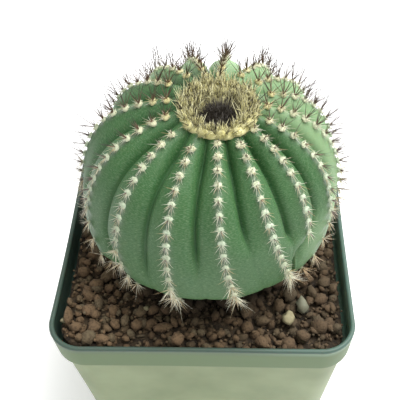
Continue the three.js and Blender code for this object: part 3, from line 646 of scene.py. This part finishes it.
RIB_COLUMNS = 24
BODY_ROWS = 176
stem_rib, stem_side = np.divmod(np.arange(RIBS * RIB_COLUMNS), RIB_COLUMNS)
stem_side = -1 + 2 * stem_side / RIB_COLUMNS
body_way = np.linspace(CREST_LENGTH, 0, BODY_ROWS)[:, None]
body_points = stem_point(stem_rib[None, :], stem_side[None, :], body_way)
belly_ring = body_points[0] - (PLANT_X, PLANT_Y, 0)
neck = np.stack([
    belly_ring * (shrink, shrink, 0) + (PLANT_X, PLANT_Y, z)
    for shrink, z in ((0.85, 68.5), (0.9, 69), (0.92, 74), (0.96, 76.5))
])
crown_lip = body_points[-1]
crown_middle = crown_lip.mean(axis=0)
dimple = np.stack([
    crown_middle + (crown_lip - crown_middle) * (share, share, 0) - (0, 0, deep)
    for share, deep in ((0.9, 1.2), (0.8, 2.4), (0.7, 3.0))
])
stem_points = np.concatenate((neck, body_points, dimple))
stem = ring_piece("ribbed_stem", stem_points)
skin_way = np.concatenate((np.full(len(neck), CREST_LENGTH), body_way[:, 0], np.zeros(len(dimple))))
skin_way, skin_side = np.broadcast_arrays(skin_way[:, None], stem_side)
skin_groove = np.where(skin_side < 0, (stem_rib - 1) % RIBS, stem_rib)
skin_depth = groove_depth(skin_groove, skin_way) / GROOVE_DEPTH
# Painted shade: the grooves are marked to be painted a deeper green.
give_value(stem, "painted_groove_shade", skin_depth * np.abs(skin_side) ** np.interp(skin_way, (5, 30), (3, 11)))
crest_band = np.interp(skin_way, (0, 14, 30, 60), (0.2, 0.7, 0.9, 0.5))
crest_end = np.where(stem_rib == SHORT_RIB, 0.8, 0) * smooth_step(37, 42, skin_way)
give_value(stem, "crest", crest_band * (1 - crest_end) * np.exp(-(skin_side / 0.15) ** 2))
give_value(stem, "way", skin_way / CREST_LENGTH)
give_value(stem, "neck", np.clip((79.5 - stem_points[..., 2]) / 3, 0, 1))
skin_bearing = np.degrees(np.arctan2(stem_points[..., 0], -stem_points[..., 1]))
# Painted light: the far side and the right flank are marked to be painted paler, a painted sheen of
# backlight.
give_value(stem, "far", np.maximum(
    smooth_step(4, 32, stem_points[..., 1] + 0.2 * stem_points[..., 0]),
    0.6 * smooth_step(68, 84, skin_bearing)
    + 0.3 * smooth_step(38, 60, skin_bearing) * smooth_step(34, 46, skin_way),
))
give_value(stem, "across", skin_side * 6 + 30 * stem_rib)
give_value(stem, "along", skin_way)

# A waxy skin over moist tissue: satin, greyer on the crests and paler on the belly, with
# rows of pale flecks across the ribs. The grooves are painted a deeper green as painted shade,
# and the far side and the right flank are painted paler as a painted sheen of backlight. The
# real flecks are under 0.2 mm, and they are drawn about 0.3 mm wide so that they show.
skin, tree, across, along, way, painted_groove_shade, crest, far, neck_share = blank_material(
    "waxy_cactus_skin", "across", "along", "way", "painted_groove_shade", "crest", "far", "neck"
)
place = add_node(tree, "TexCoord").outputs["Object"]
skin_map = add_node(tree, "CombineXYZ", {"X": across, "Y": along})
stretched = add_node(tree, "Mapping", {"Vector": skin_map, "Scale": (1.3, 4.6, 1)})
flecks = add_node(tree, "TexNoise", {"Vector": stretched, "Scale": 1.0, "Detail": 2, "Roughness": 0.7})
clouds = add_node(tree, "TexNoise", {"Vector": place, "Scale": 55, "Detail": 3, "Roughness": 0.55})
crest_share = add_node(tree, "Math", {0: crest, 1: 0.75}, operation="MULTIPLY")
fleck_share = add_node(tree, "MapRange", {
    "Value": flecks, "From Min": 0.46, "From Max": 0.7, "To Max": 0.4,
})
painted_sheen_share = add_node(tree, "Math", {0: far, 1: 0.8}, operation="MULTIPLY")
skin_colour = add_node(tree, "ValToRGB", {"Fac": way}, (
    (0, "#315b2b"), (0.25, "#376232"), (0.5, "#3e6338"),
    (0.7, "#48673d"), (0.85, "#5a7f49"), (1, "#688851"),
))
# Painted shade in the grooves and a painted sheen on the far side are mixed in among the skin's own
# colours.
for share, colour in (
    (clouds, "#315b30"), (painted_groove_shade, "#27592a"), (crest_share, "#7c8678"),
    (fleck_share, "#8ca47e"), (painted_sheen_share, "#9fbc8c"), (neck_share, "#6e5c3f"),
):
    skin_colour = add_node(tree, "Mix", {
        "Factor": share, "A": skin_colour, "B": colour,
    }, data_type="RGBA")
skin_relief = add_node(tree, "Bump", {"Height": flecks, "Strength": 0.25, "Distance": 0.0003})
skin_shader = add_node(tree, "BsdfPrincipled", {
    "Base Color": skin_colour, "Roughness": 0.52, "IOR": 1.42,
    "Subsurface Weight": 0.1, "Subsurface Scale": 0.0015, "Normal": skin_relief,
})
add_node(tree, "OutputMaterial", {"Surface": skin_shader})
stem.data.materials.append(skin)
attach(stem, "root")
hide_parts("cactus_stem")


# The areoles: cushions of short cream wool about 4 mm apart along every crest. Each is a
# low pad of felted fibres seated on a swelling of the rib.

TUFTS_PER_RIB = 17
LAST_TUFT = 60
PAD_COLUMNS = 10
PAD_ROWS = 4
HAIR_SIDES = 3
STANDING_FIBRES = 46
LAID_FIBRES = 3


def swing(turn, first, second):
    """Directions between two others: the cosine of a turn times the first and its sine
    times the second."""
    return np.cos(turn)[..., None] * first + np.sin(turn)[..., None] * second


def from_front(bearing):
    """How many degrees a bearing lies to either side of the front."""
    return np.abs((bearing + 180) % 360 - 180)


def crest_frame(rib, distance):
    """Crest points, then their directions outwards, down the rib and across it, from
    differences along and round the stem."""
    above, root, below = (
        stem_point(rib, np.zeros(distance.shape), distance + step) for step in (-0.6, 0, 0.6)
    )
    down = unit(below - above)
    out = unit(np.cross(down, level_way(crest_bearing(rib, distance) + 90)))
    return np.stack((root, out, down, np.cross(down, out)))


def wool_pads(name, frames, widths, heights, ages, dice):
    """Low domes of wool, a fifth shorter down the rib than across: rings of points round
    each root, their radius and height the cosine and sine of a rising angle, with an
    uneven reach."""
    roots, outs, downs, sides = frames[:, :, None, None]
    turn = 2 * np.pi * np.arange(PAD_COLUMNS) / PAD_COLUMNS
    rise = np.linspace(-0.5, 1.25, PAD_ROWS)[:, None, None]
    uneven = dice.uniform(0.82, 1.18, (len(roots), PAD_ROWS, PAD_COLUMNS, 1))
    wide = widths[:, None, None, None] * np.cos(rise) * uneven
    high = heights[:, None, None, None] * np.sin(rise) * uneven
    piece = ring_piece(name, roots + high * outs + wide * swing(turn, sides, 0.8 * downs))
    give_value(piece, "age", ages)
    return piece


def bristles(name, roots, aims, lengths, radii, bend, ages, dice, rings=3):
    """Tapering hairs. Each centre line leaves its root along its aim and is drawn aside by
    a random bend times the square of the way along, and its radius shrinks to a point."""
    count = len(roots)
    bends = dice.normal(0, bend, (count, 3))
    aims = unit(aims)
    other = np.where(np.abs(aims[:, 2:]) < 0.8, (0.0, 0.0, 1.0), (1.0, 0.0, 0.0))
    first = unit(np.cross(aims, other))
    second = np.cross(aims, first)
    way = np.linspace(0, 1, rings + 1)[:, None]
    centre = roots[:, None] + lengths[:, None, None] * (
        way * aims[:, None] + way ** 2 * bends[:, None]
    )
    side = np.arange(HAIR_SIDES)
    spoke = swing(2 * np.pi * side / HAIR_SIDES, first[:, None], second[:, None])
    thick = np.reshape(radii, (-1, 1, 1, 1)) * (1 - way[:-1, None] ** 1.5)
    tube = (centre[:, :-1, None] + thick * spoke[:, None]).reshape(count, -1, 3)
    last = (rings - 1) * HAIR_SIDES
    tips = (last + side, last + (side + 1) % HAIR_SIDES, np.full(HAIR_SIDES, rings * HAIR_SIDES))
    piece = make_piece(name, np.concatenate((tube, centre[:, -1:]), axis=1), [
        grid_faces(rings, HAIR_SIDES), np.stack(tips, axis=-1), side[None, ::-1],
    ], count)
    give_value(piece, "tipward", np.tile(np.append(np.repeat(way[:-1], HAIR_SIDES), 1), count))
    give_value(piece, "tone", dice.random(count))
    give_value(piece, "age", ages)
    return piece


def fan_out(per_tuft, dice, tufts):
    """Repeats tufts, once for each hair of a tuft, with a random turn and share."""
    chosen = np.repeat(tufts, per_tuft)
    return chosen, dice.uniform(0, 2 * np.pi, len(chosen)), dice.random(len(chosen))


def fuzz(frames, turn, tilt, wide, high):
    """Roots and aims of fibres all round a pad. They lean from upright by the tilt, and
    their roots lie on a dome of the given width and height."""
    root, out, down, across = frames
    flat = swing(turn, across, down)
    return root + swing(tilt, high * out, wide * flat), swing(tilt, out, flat)


tuft_rib = np.repeat(np.arange(RIBS), TUFTS_PER_RIB)
tuft_index = np.tile(np.arange(TUFTS_PER_RIB), RIBS)
tuft_way = FIRST_TUFT[tuft_rib] + TUFT_SPACING * tuft_index * (1 + TUFT_GROWTH * tuft_index)
tuft_kept = tuft_way < np.where(tuft_rib == SHORT_RIB, SHORT_RIB_END, LAST_TUFT)
tuft_rib, tuft_way = tuft_rib[tuft_kept], tuft_way[tuft_kept]
tuft_frame = crest_frame(tuft_rib, tuft_way)
tufts = np.arange(len(tuft_rib))

dice = np.random.default_rng(29)
tuft_age = tuft_way / LAST_TUFT
tuft_far = smooth_step(40, 105, from_front(RIB_BEARING[tuft_rib]))
tuft_aside = smooth_step(20, 60, from_front(RIB_BEARING[tuft_rib]))
tuft_low = smooth_step(0.6, 0.8, tuft_age)
tuft_width = np.interp(tuft_age, (0.05, 0.3, 0.7, 1), (1.4, 1.2, 1.1, 0.9))
tuft_width = tuft_width * (1 - 0.5 * tuft_aside * tuft_low)
tuft_width = tuft_width * dice.uniform(0.88, 1.12, len(tufts))
wool_age = tuft_age - 0.1 * tuft_far
pads = wool_pads("areole_pads", tuft_frame, 0.9 * tuft_width, 0.48 * tuft_width, wool_age, dice)

# Short crinkled fibres stand all round each pad and give it its soft edge, and a few lie
# along the crest from one pad to the next.
chosen, turn, share = fan_out(STANDING_FIBRES, dice, tufts)
width = tuft_width[chosen]
fibre_root, fibre_aim = fuzz(
    tuft_frame[:, chosen], turn, 1.5 * np.sqrt(share), 0.6 * width[:, None], 0.35 * width[:, None]
)
fibre_length = width * dice.uniform(0.3, 0.75, len(chosen))
laid, turn, share = fan_out(LAID_FIBRES, dice, tufts)
root, out, down, across = tuft_frame[:, laid]
laid_root = (
    root + 0.08 * out + dice.normal(0, 0.28, (len(laid), 1)) * across
    + dice.uniform(-1.6, 1.6, (len(laid), 1)) * down
)
laid_aim = down * np.sign(share - 0.5)[:, None] + 0.15 * out + 0.45 * np.cos(turn)[:, None] * across
areole_wool = bristles(
    "areole_wool", np.concatenate((fibre_root, laid_root)),
    np.concatenate((fibre_aim, laid_aim)),
    np.concatenate((fibre_length, dice.uniform(0.6, 1.2, len(laid)))), 0.1, 0.25,
    np.concatenate((wool_age[chosen], tuft_age[laid])), dice, rings=2,
)

# Felted wool: matt, soft-edged, yellowish by the crown and nearly white lower down.
tuft_wool, tree, age = blank_material("felted_areole_wool", "age")
place = add_node(tree, "TexCoord").outputs["Object"]
wool_colour = add_node(tree, "ValToRGB", {"Fac": age}, (
    (0, "#d0c891"), (0.08, "#d3d3b0"), (0.5, "#c2d0b6"), (1, "#c6c9aa"),
))
felt = add_node(tree, "TexNoise", {"Vector": place, "Scale": 2400, "Detail": 2})
felt_relief = add_node(tree, "Bump", {"Height": felt, "Strength": 0.6, "Distance": 0.0003})
wool_shader = add_node(tree, "BsdfPrincipled", {
    "Base Color": wool_colour, "Roughness": 1.0, "Sheen Weight": 0.3,
    "Sheen Roughness": 0.5, "Normal": felt_relief,
})
add_node(tree, "OutputMaterial", {"Surface": wool_shader})
for wool in (pads, areole_wool):
    wool.data.materials.append(tuft_wool)
    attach(wool, "root")
    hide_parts("cactus_stem")


# The spines of the areoles: thin stiff bristles of horn. Pale radial ones lie mostly down
# the rib, dark central ones stand out from young areoles and grey with age, and the
# oldest areoles, under the belly, carry brushes of long straw-coloured ones.

RADIALS = 9
CENTRALS = 9
BRUSH_SPINES = 17
SPINE_ROOT = 0.3

# The radial spines fan out from 25 degrees above one side to the same above the other,
# and every second one is drawn towards the way down the rib, at 90 degrees.
dice = np.random.default_rng(37)
chosen, turn, share = fan_out(RADIALS, dice, tufts)
root, out, down, across = tuft_frame[:, chosen]
place_in_fan = np.tile(np.arange(RADIALS), len(tufts))
downwards = place_in_fan % 2 == 0
radial_turn = -25 + 230 * (place_in_fan + 0.7 * turn / (2 * np.pi)) / RADIALS
radial_turn = np.radians(np.where(downwards, 90 + 0.42 * (radial_turn - 90), radial_turn))
flat = swing(radial_turn, across, down)
radial_length = np.where(downwards, 3.0, 1.9) + np.where(downwards, 0.8, 1.2) * tuft_age[chosen]
radials = bristles(
    "radial_spines", root + SPINE_ROOT * out + SPINE_ROOT * flat,
    flat + (0.2 + 0.35 * share)[:, None] * out,
    radial_length * dice.uniform(0.7, 1.2, len(chosen)), 0.065, 0.07, tuft_age[chosen], dice,
)

# The photograph shows the longest dark spines on the far side of the plant, and hardly
# any on the lowest areoles of its front.
chosen, _, share = fan_out(CENTRALS, dice, tufts)
central_kept = (0.45 + 0.55 * tuft_far) * (1 - tuft_low * (1 - tuft_far ** 2))
chosen = chosen[share < central_kept[chosen]]
root, out, down, across = tuft_frame[:, chosen]
age, far = tuft_age[chosen], tuft_far[chosen]
aside = dice.normal(0, 0.36, (len(chosen), 1))
near_up = 0.3 - 2.8 * np.minimum(age, 0.5)
upwards = near_up + (0.5 - 0.7 * age - near_up) * far + dice.normal(0, 0.4, len(chosen))
near_length = np.interp(age, (0, 0.15, 0.4, 0.7, 1), (3.1, 3.0, 2.6, 2.8, 3.4))
back_length = np.interp(age, (0, 0.15, 0.4, 0.7, 1), (9.0, 9.5, 9.0, 7.6, 6.0))
central_length = near_length + (back_length - near_length) * far
centrals = bristles(
    "central_spines", root + SPINE_ROOT * out, out + aside * across - upwards[:, None] * down,
    central_length * dice.uniform(0.6, 1.15, len(chosen)),
    0.075 + 0.04 * np.maximum(far, smooth_step(0.35, 0.1, age)), 0.07, age, dice,
)

chosen, turn, share = fan_out(BRUSH_SPINES, dice, np.flatnonzero(tuft_way > 47 - 9 * tuft_aside))
fewer = dice.random(len(chosen)) > 0.45 * tuft_aside[chosen]
chosen, turn, share = chosen[fewer], turn[fewer], share[fewer]
root, out, down, across = tuft_frame[:, chosen]
brush_aim = 0.6 * out + (0.4 + 0.8 * share)[:, None] * swing(turn, across, down) + 0.35 * down
aside = tuft_aside[chosen]
brush_age = np.clip((tuft_way[chosen] - 37) / 17, 0, 1)
brush_tan = aside * np.where(RIB_BEARING[tuft_rib[chosen]] < 180, 0.5, 0.2)
brushes = bristles(
    "brush_spines", root + SPINE_ROOT * out, brush_aim,
    (3.3 + (2.4 - 0.9 * aside) * brush_age) * dice.uniform(0.7, 1.15, len(chosen)),
    0.075, 0.08, brush_age + brush_tan, dice,
)

# Horn: smooth and slightly glossy, cream to straw, a little darker towards the tip. The
# brushes on the plant's sides, of an age beyond 1, are tan.
straw_horn, tree, tipward, tone, age = blank_material(
    "straw_coloured_horn", "tipward", "tone", "age"
)
tip_share = add_node(tree, "Math", {0: tipward, 1: 0.15}, operation="MULTIPLY")
tan_share = add_node(tree, "MapRange", {
    "Value": age, "From Min": 1.0, "From Max": 1.5, "To Max": 0.6,
})
straw = add_node(tree, "ValToRGB", {"Fac": tone}, (
    (0, "#f3f5e2"), (0.65, "#eae3c6"), (1, "#cfae7c"),
))
for share, colour in ((tip_share, "#a88a60"), (tan_share, "#c4935e")):
    straw = add_node(tree, "Mix", {"Factor": share, "A": straw, "B": colour}, data_type="RGBA")
straw_shader = add_node(tree, "BsdfPrincipled", {"Base Color": straw, "Roughness": 0.5, "IOR": 1.54})
add_node(tree, "OutputMaterial", {"Surface": straw_shader})

# The same horn, dark brown to black while young and grey and then pale with age, with a
# pinkish root.
dark_horn, tree, age, tipward = blank_material("dark_horn", "age", "tipward")
dark = add_node(tree, "ValToRGB", {"Fac": age}, (
    (0, "#39332a"), (0.35, "#382c29"), (0.55, "#5b5052"), (0.78, "#8b8278"), (1, "#d2c49c"),
))
root_share = add_node(tree, "MapRange", {
    "Value": tipward, "From Min": 0.15, "From Max": 0.55, "To Min": 0.8, "To Max": 0.0,
})
grown = add_node(tree, "MapRange", {"Value": age, "From Min": 0.0, "From Max": 0.04})
fresh = add_node(tree, "MapRange", {
    "Value": age, "From Min": 0.1, "From Max": 0.5, "To Min": 1.0, "To Max": 0.3,
})
pink_age = add_node(tree, "Math", {0: grown, 1: fresh}, operation="MULTIPLY")
pink_share = add_node(tree, "Math", {0: root_share, 1: pink_age}, operation="MULTIPLY")
root_mix = add_node(tree, "Mix", {"Factor": pink_share, "A": dark, "B": "#a27c68"}, data_type="RGBA")
dark_shader = add_node(tree, "BsdfPrincipled", {"Base Color": root_mix, "Roughness": 0.5, "IOR": 1.54})
add_node(tree, "OutputMaterial", {"Surface": dark_shader})
for spines, finish in ((radials, straw_horn), (centrals, dark_horn), (brushes, straw_horn)):
    spines.data.materials.append(finish)
    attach(spines, "root")
    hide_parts("cactus_stem")


# The crown: young areoles crowd round the growing point in a ring of yellow wool, and
# their straw bristles and black spines stand in it like a nest.

NEST_MIDDLE = crown_middle + (0.5, -4.9, 0)
NEST_RADIUS = 5.1
NEST_DEPTH = 1.6
NEST_SPREAD = 5.0
SEAT_RADIUS = 4.7
SEAT_HEIGHT = 0.8
CAP_COLUMNS = 120
INNER_LUMPS = 13
LUMPS = RIBS + INNER_LUMPS
WOOL_FIBRES = 2600
STRAWS = 640
RING_SPINES = 420
NEST_SPINES = 900
SEAT_ROWS = 8
SEAT_COLUMNS = 48

edge_forward = (0.5 + 0.5 * np.cos(np.radians(RIB_BEARING))) ** 2
edge_way = np.clip(FIRST_TUFT - 1.2, 0, 3.8 * edge_forward)
edge_radius = crest_profile(edge_way)[0] - np.where(RIB_BEARING > 200, 0.9, 0.2)


def crown_point(share, bearing, height):
    """A point of the crown at a bearing in degrees. Share 0 is on the rim of the nest, a
    circle set forward of the plant's axis, and 1 on the wool's edge, which reaches to the
    first tuft of each front rib. The height is above the ribs' ends."""
    way = level_way(bearing)
    edge = crown_middle + np.interp(bearing, RIB_BEARING, edge_radius, period=360)[..., None] * way
    nest = NEST_MIDDLE + NEST_RADIUS * way
    flat = nest + (edge - nest) * np.asarray(share)[..., None]
    return flat + np.asarray(height)[..., None] * UP


def wool_shade(share, bearing):
    """How much painted shade the wool gets for the shade of the bristles, from 0 on the front
    of the outer ring to 1 behind: one less the product of two smooth steps."""
    return 1 - smooth_step(0.35, 0.7, share) * smooth_step(110, 50, from_front(bearing))


dice = np.random.default_rng(53)
cap_share = np.array((0.3, 0.7, 0.93, 1.0, 0.98, 0.9, 0.7, 0.4, 0.15, 0.0, -0.05, -0.12))[:, None]
cap_height = np.array((-2.9, -1.8, -1.2, -0.9, -0.5, -0.1, 0.3, 0.5, 0.3, -0.5, -1.3, -1.8))
cap_bearing = np.linspace(0, 360, CAP_COLUMNS, endpoint=False)
cap_height = cap_height[:, None] + dice.uniform(-0.15, 0.15, (len(cap_share), CAP_COLUMNS))
wool_cap = ring_piece("crown_wool_cap", crown_point(cap_share, cap_bearing, cap_height))
# Painted shade: the crown wool's age holds how far it is painted darker in the shade of the bristles.
give_value(wool_cap, "age", wool_shade(cap_share, cap_bearing))

# Two rings of young areoles make the cap lumpy, one lump to each rib in the outer ring.
lump_bearing = np.append(RIB_BEARING + 3, 8 + 360 * np.arange(INNER_LUMPS) / INNER_LUMPS)
lump_share = np.append(np.full(RIBS, 0.82), np.full(INNER_LUMPS, 0.36))
lump_share = lump_share + dice.uniform(-0.06, 0.06, LUMPS)
# The lumps and their fibres carry the same painted shade as their age.
lump_shade = wool_shade(lump_share, lump_bearing)
lump_root = crown_point(lump_share, lump_bearing, 0.3)
lump_out = unit(UP + 0.06 * (lump_root - crown_point(0, lump_bearing, 0.3)))
lump_down = level_way(lump_bearing)
lump_down = unit(lump_down - np.sum(lump_down * lump_out, axis=1, keepdims=True) * lump_out)
lump_frame = np.stack((lump_root, lump_out, lump_down, np.cross(lump_down, lump_out)))
lumps = wool_pads(
    "crown_wool_lumps", lump_frame, dice.uniform(1.3, 2.0, LUMPS),
    dice.uniform(1.0, 1.7, LUMPS), lump_shade, dice,
)

chosen = dice.integers(0, LUMPS, WOOL_FIBRES)
turn = dice.uniform(0, 2 * np.pi, WOOL_FIBRES)
tilt = 1.4 * np.sqrt(dice.random(WOOL_FIBRES))
crown_fibres = bristles(
    "crown_wool_fibres", *fuzz(lump_frame[:, chosen], turn, tilt, 1.3, 0.9),
    dice.uniform(0.5, 1.2, WOOL_FIBRES), 0.085, 0.35, lump_shade[chosen], dice, rings=2,
)


def standing(count, lean, dice):
    """Bearings, shares and aims of spines that fan out of the crown's areoles: upright,
    and leaning away from the nest by up to the lean at share 1, with a random part. Up to
    half of those in front of the outer ring's lumps are left out, where the wool shows."""
    from_lump = dice.integers(0, LUMPS, count)
    bearing = (lump_bearing[from_lump] + dice.normal(0, 7, count)) % 360
    share = np.clip(lump_share[from_lump] + dice.normal(0, 0.13, count), 0, 1)
    front = smooth_step(100, 30, from_front(bearing))
    tilt = share * (lean + 0.6 * front) + dice.normal(0, 0.5, count)
    aim = tilt[:, None] * level_way(bearing + np.degrees(dice.normal(0, 0.8, count))) + UP
    kept = dice.random(count) > 0.5 * front * smooth_step(0.45, 0.65, share)
    return bearing[kept], share[kept], aim[kept]


def spine_reach(bearing):
    """Length of the standing spines, a third shorter in front and behind than aside."""
    away = from_front(bearing)
    return 1 - 0.34 * smooth_step(110, 30, away) - 0.3 * smooth_step(110, 150, away)


bearing, share, straw_aim = standing(STRAWS, 0.12, dice)
crown_straws = bristles(
    "crown_bristles", crown_point(share, bearing, 0.2), straw_aim,
    spine_reach(bearing) * dice.uniform(3.0, 6.4, len(bearing)), 0.15, 0.12, 0.0, dice,
)

bearing, share, ring_aim = standing(RING_SPINES, 0.15, dice)
ring_root = crown_point(share, bearing, 0.3)
ring_length = spine_reach(bearing) * dice.uniform(3.6, 8.0, len(bearing))
nest_way = level_way(dice.uniform(0, 360, NEST_SPINES))
nest_away = NEST_SPREAD * np.sqrt(dice.random(NEST_SPINES))
nest_lean = 0.24 * nest_away + dice.normal(0, 0.22, NEST_SPINES)
nest_root = NEST_MIDDLE + nest_away[:, None] * nest_way - NEST_DEPTH * UP
crown_blacks = bristles(
    "crown_dark_spines", np.concatenate((nest_root, ring_root)),
    np.concatenate((nest_lean[:, None] * nest_way + UP, ring_aim)),
    np.concatenate((dice.uniform(2.8, 5.2, NEST_SPINES), ring_length)), 0.1, 0.08, 0.0, dice,
)

# The seat of the black spines: a small dark cushion at the bottom of the nest.
seat_rise = np.linspace(-0.5, 1.4, SEAT_ROWS)[:, None]
seat_way = level_way(np.linspace(0, 360, SEAT_COLUMNS, endpoint=False))
seat_height = SEAT_HEIGHT * np.sin(seat_rise) + dice.uniform(-0.1, 0.1, (SEAT_ROWS, SEAT_COLUMNS))
seat = ring_piece("crown_spine_seat", (
    NEST_MIDDLE + SEAT_RADIUS * np.cos(seat_rise)[..., None] * seat_way
    + (seat_height - NEST_DEPTH)[..., None] * UP
))
give_value(seat, "age", 0.0)

# Young wool, yellow with the plant's own wax.
yellow_wool, tree, age = blank_material("yellow_crown_wool", "age")
place = add_node(tree, "TexCoord").outputs["Object"]
felt = add_node(tree, "TexNoise", {"Vector": place, "Scale": 500, "Detail": 4})
crown_colour = add_node(tree, "ValToRGB", {"Fac": felt}, ((0.35, "#b4ad70"), (0.65, "#e0daa2")))
felt_relief = add_node(tree, "Bump", {"Height": felt, "Strength": 0.6, "Distance": 0.0005})
# Painted shade: the stored age darkens the wool behind and inside the outer ring.
shaded = add_node(tree, "Math", {0: age, 1: 0.5}, operation="MULTIPLY")
shaded_mix = add_node(tree, "Mix", {
    "Factor": shaded, "A": crown_colour, "B": "#5e5836",
}, data_type="RGBA")
crown_shader = add_node(tree, "BsdfPrincipled", {
    "Base Color": shaded_mix, "Roughness": 1.0, "Sheen Weight": 0.3,
    "Sheen Roughness": 0.5, "Normal": felt_relief,
})
add_node(tree, "OutputMaterial", {"Surface": crown_shader})

# Young bristles: straw yellow, most of them browner towards their tips.
tipped_straw, tree, tipward, tone = blank_material("brown_tipped_straw", "tipward", "tone")
brown_from = add_node(tree, "MapRange", {"Value": tipward, "From Min": 0.5, "From Max": 1.0})
brown_share = add_node(tree, "Math", {0: brown_from, 1: tone}, operation="MULTIPLY")
young_straw = add_node(tree, "ValToRGB", {"Fac": tone}, ((0, "#fbf8cc"), (1, "#f2eaae")))
tipped_mix = add_node(tree, "Mix", {
    "Factor": brown_share, "A": young_straw, "B": "#3a2a1e",
}, data_type="RGBA")
tipped_shader = add_node(tree, "BsdfPrincipled", {"Base Color": tipped_mix, "Roughness": 0.5, "IOR": 1.54})
add_node(tree, "OutputMaterial", {"Surface": tipped_shader})
for part, finish, node_name, slot_name in (
    (wool_cap, yellow_wool, "crown_wool", "wool"),
    (lumps, yellow_wool, "crown_wool", "wool"),
    (crown_fibres, yellow_wool, "crown_wool", "wool"),
    (crown_straws, tipped_straw, "crown_wool", "wool"),
    (crown_blacks, dark_horn, "crown_spines", "dark_spine"),
    (seat, dark_horn, "crown_spines", "dark_spine"),
):
    part.data.materials.append(finish)
    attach(part, "root")
    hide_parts(node_name)


# The studio: a pale floor under the pot, a bright even surround, and one large soft lamp
# high on the right.

FLOOR_REACH = 3000
LAMP_PLACE = Vector((0.36, 0.12, 0.88))
LAMP_TARGET = Vector((0.0, 0.0, 0.09))

floor_points = FLOOR_REACH * np.array(((-1, -1, 0), (1, -1, 0), (1, 1, 0), (-1, 1, 0)))
floor = make_piece("floor", floor_points, [np.arange(4)[None]])
white_paper, tree = blank_material("white_paper")
paper = add_node(tree, "BsdfPrincipled", {
    "Base Color": "#fafafa", "Roughness": 0.9, "Emission Color": "#ffffff", "Emission Strength": 0.25,
})
add_node(tree, "OutputMaterial", {"Surface": paper})
floor.data.materials.append(white_paper)

surround = bpy.data.worlds.new("surround")
surround.use_nodes = True
background = surround.node_tree.nodes["Background"]
background.inputs["Color"].default_value = linear("#ffffff")
background.inputs["Strength"].default_value = 0.68
bpy.context.scene.world = surround
bpy.context.scene.view_settings.view_transform = "Standard"

lamp = bpy.data.objects.new("soft_key", bpy.data.lights.new("soft_key", "AREA"))
lamp.data.size = 0.7
lamp.data.energy = 13
lamp_turn = (LAMP_TARGET - LAMP_PLACE).to_track_quat("-Z", "Y")
lamp.matrix_world = Matrix.Translation(LAMP_PLACE) @ lamp_turn.to_matrix().to_4x4()
bpy.context.collection.objects.link(lamp)
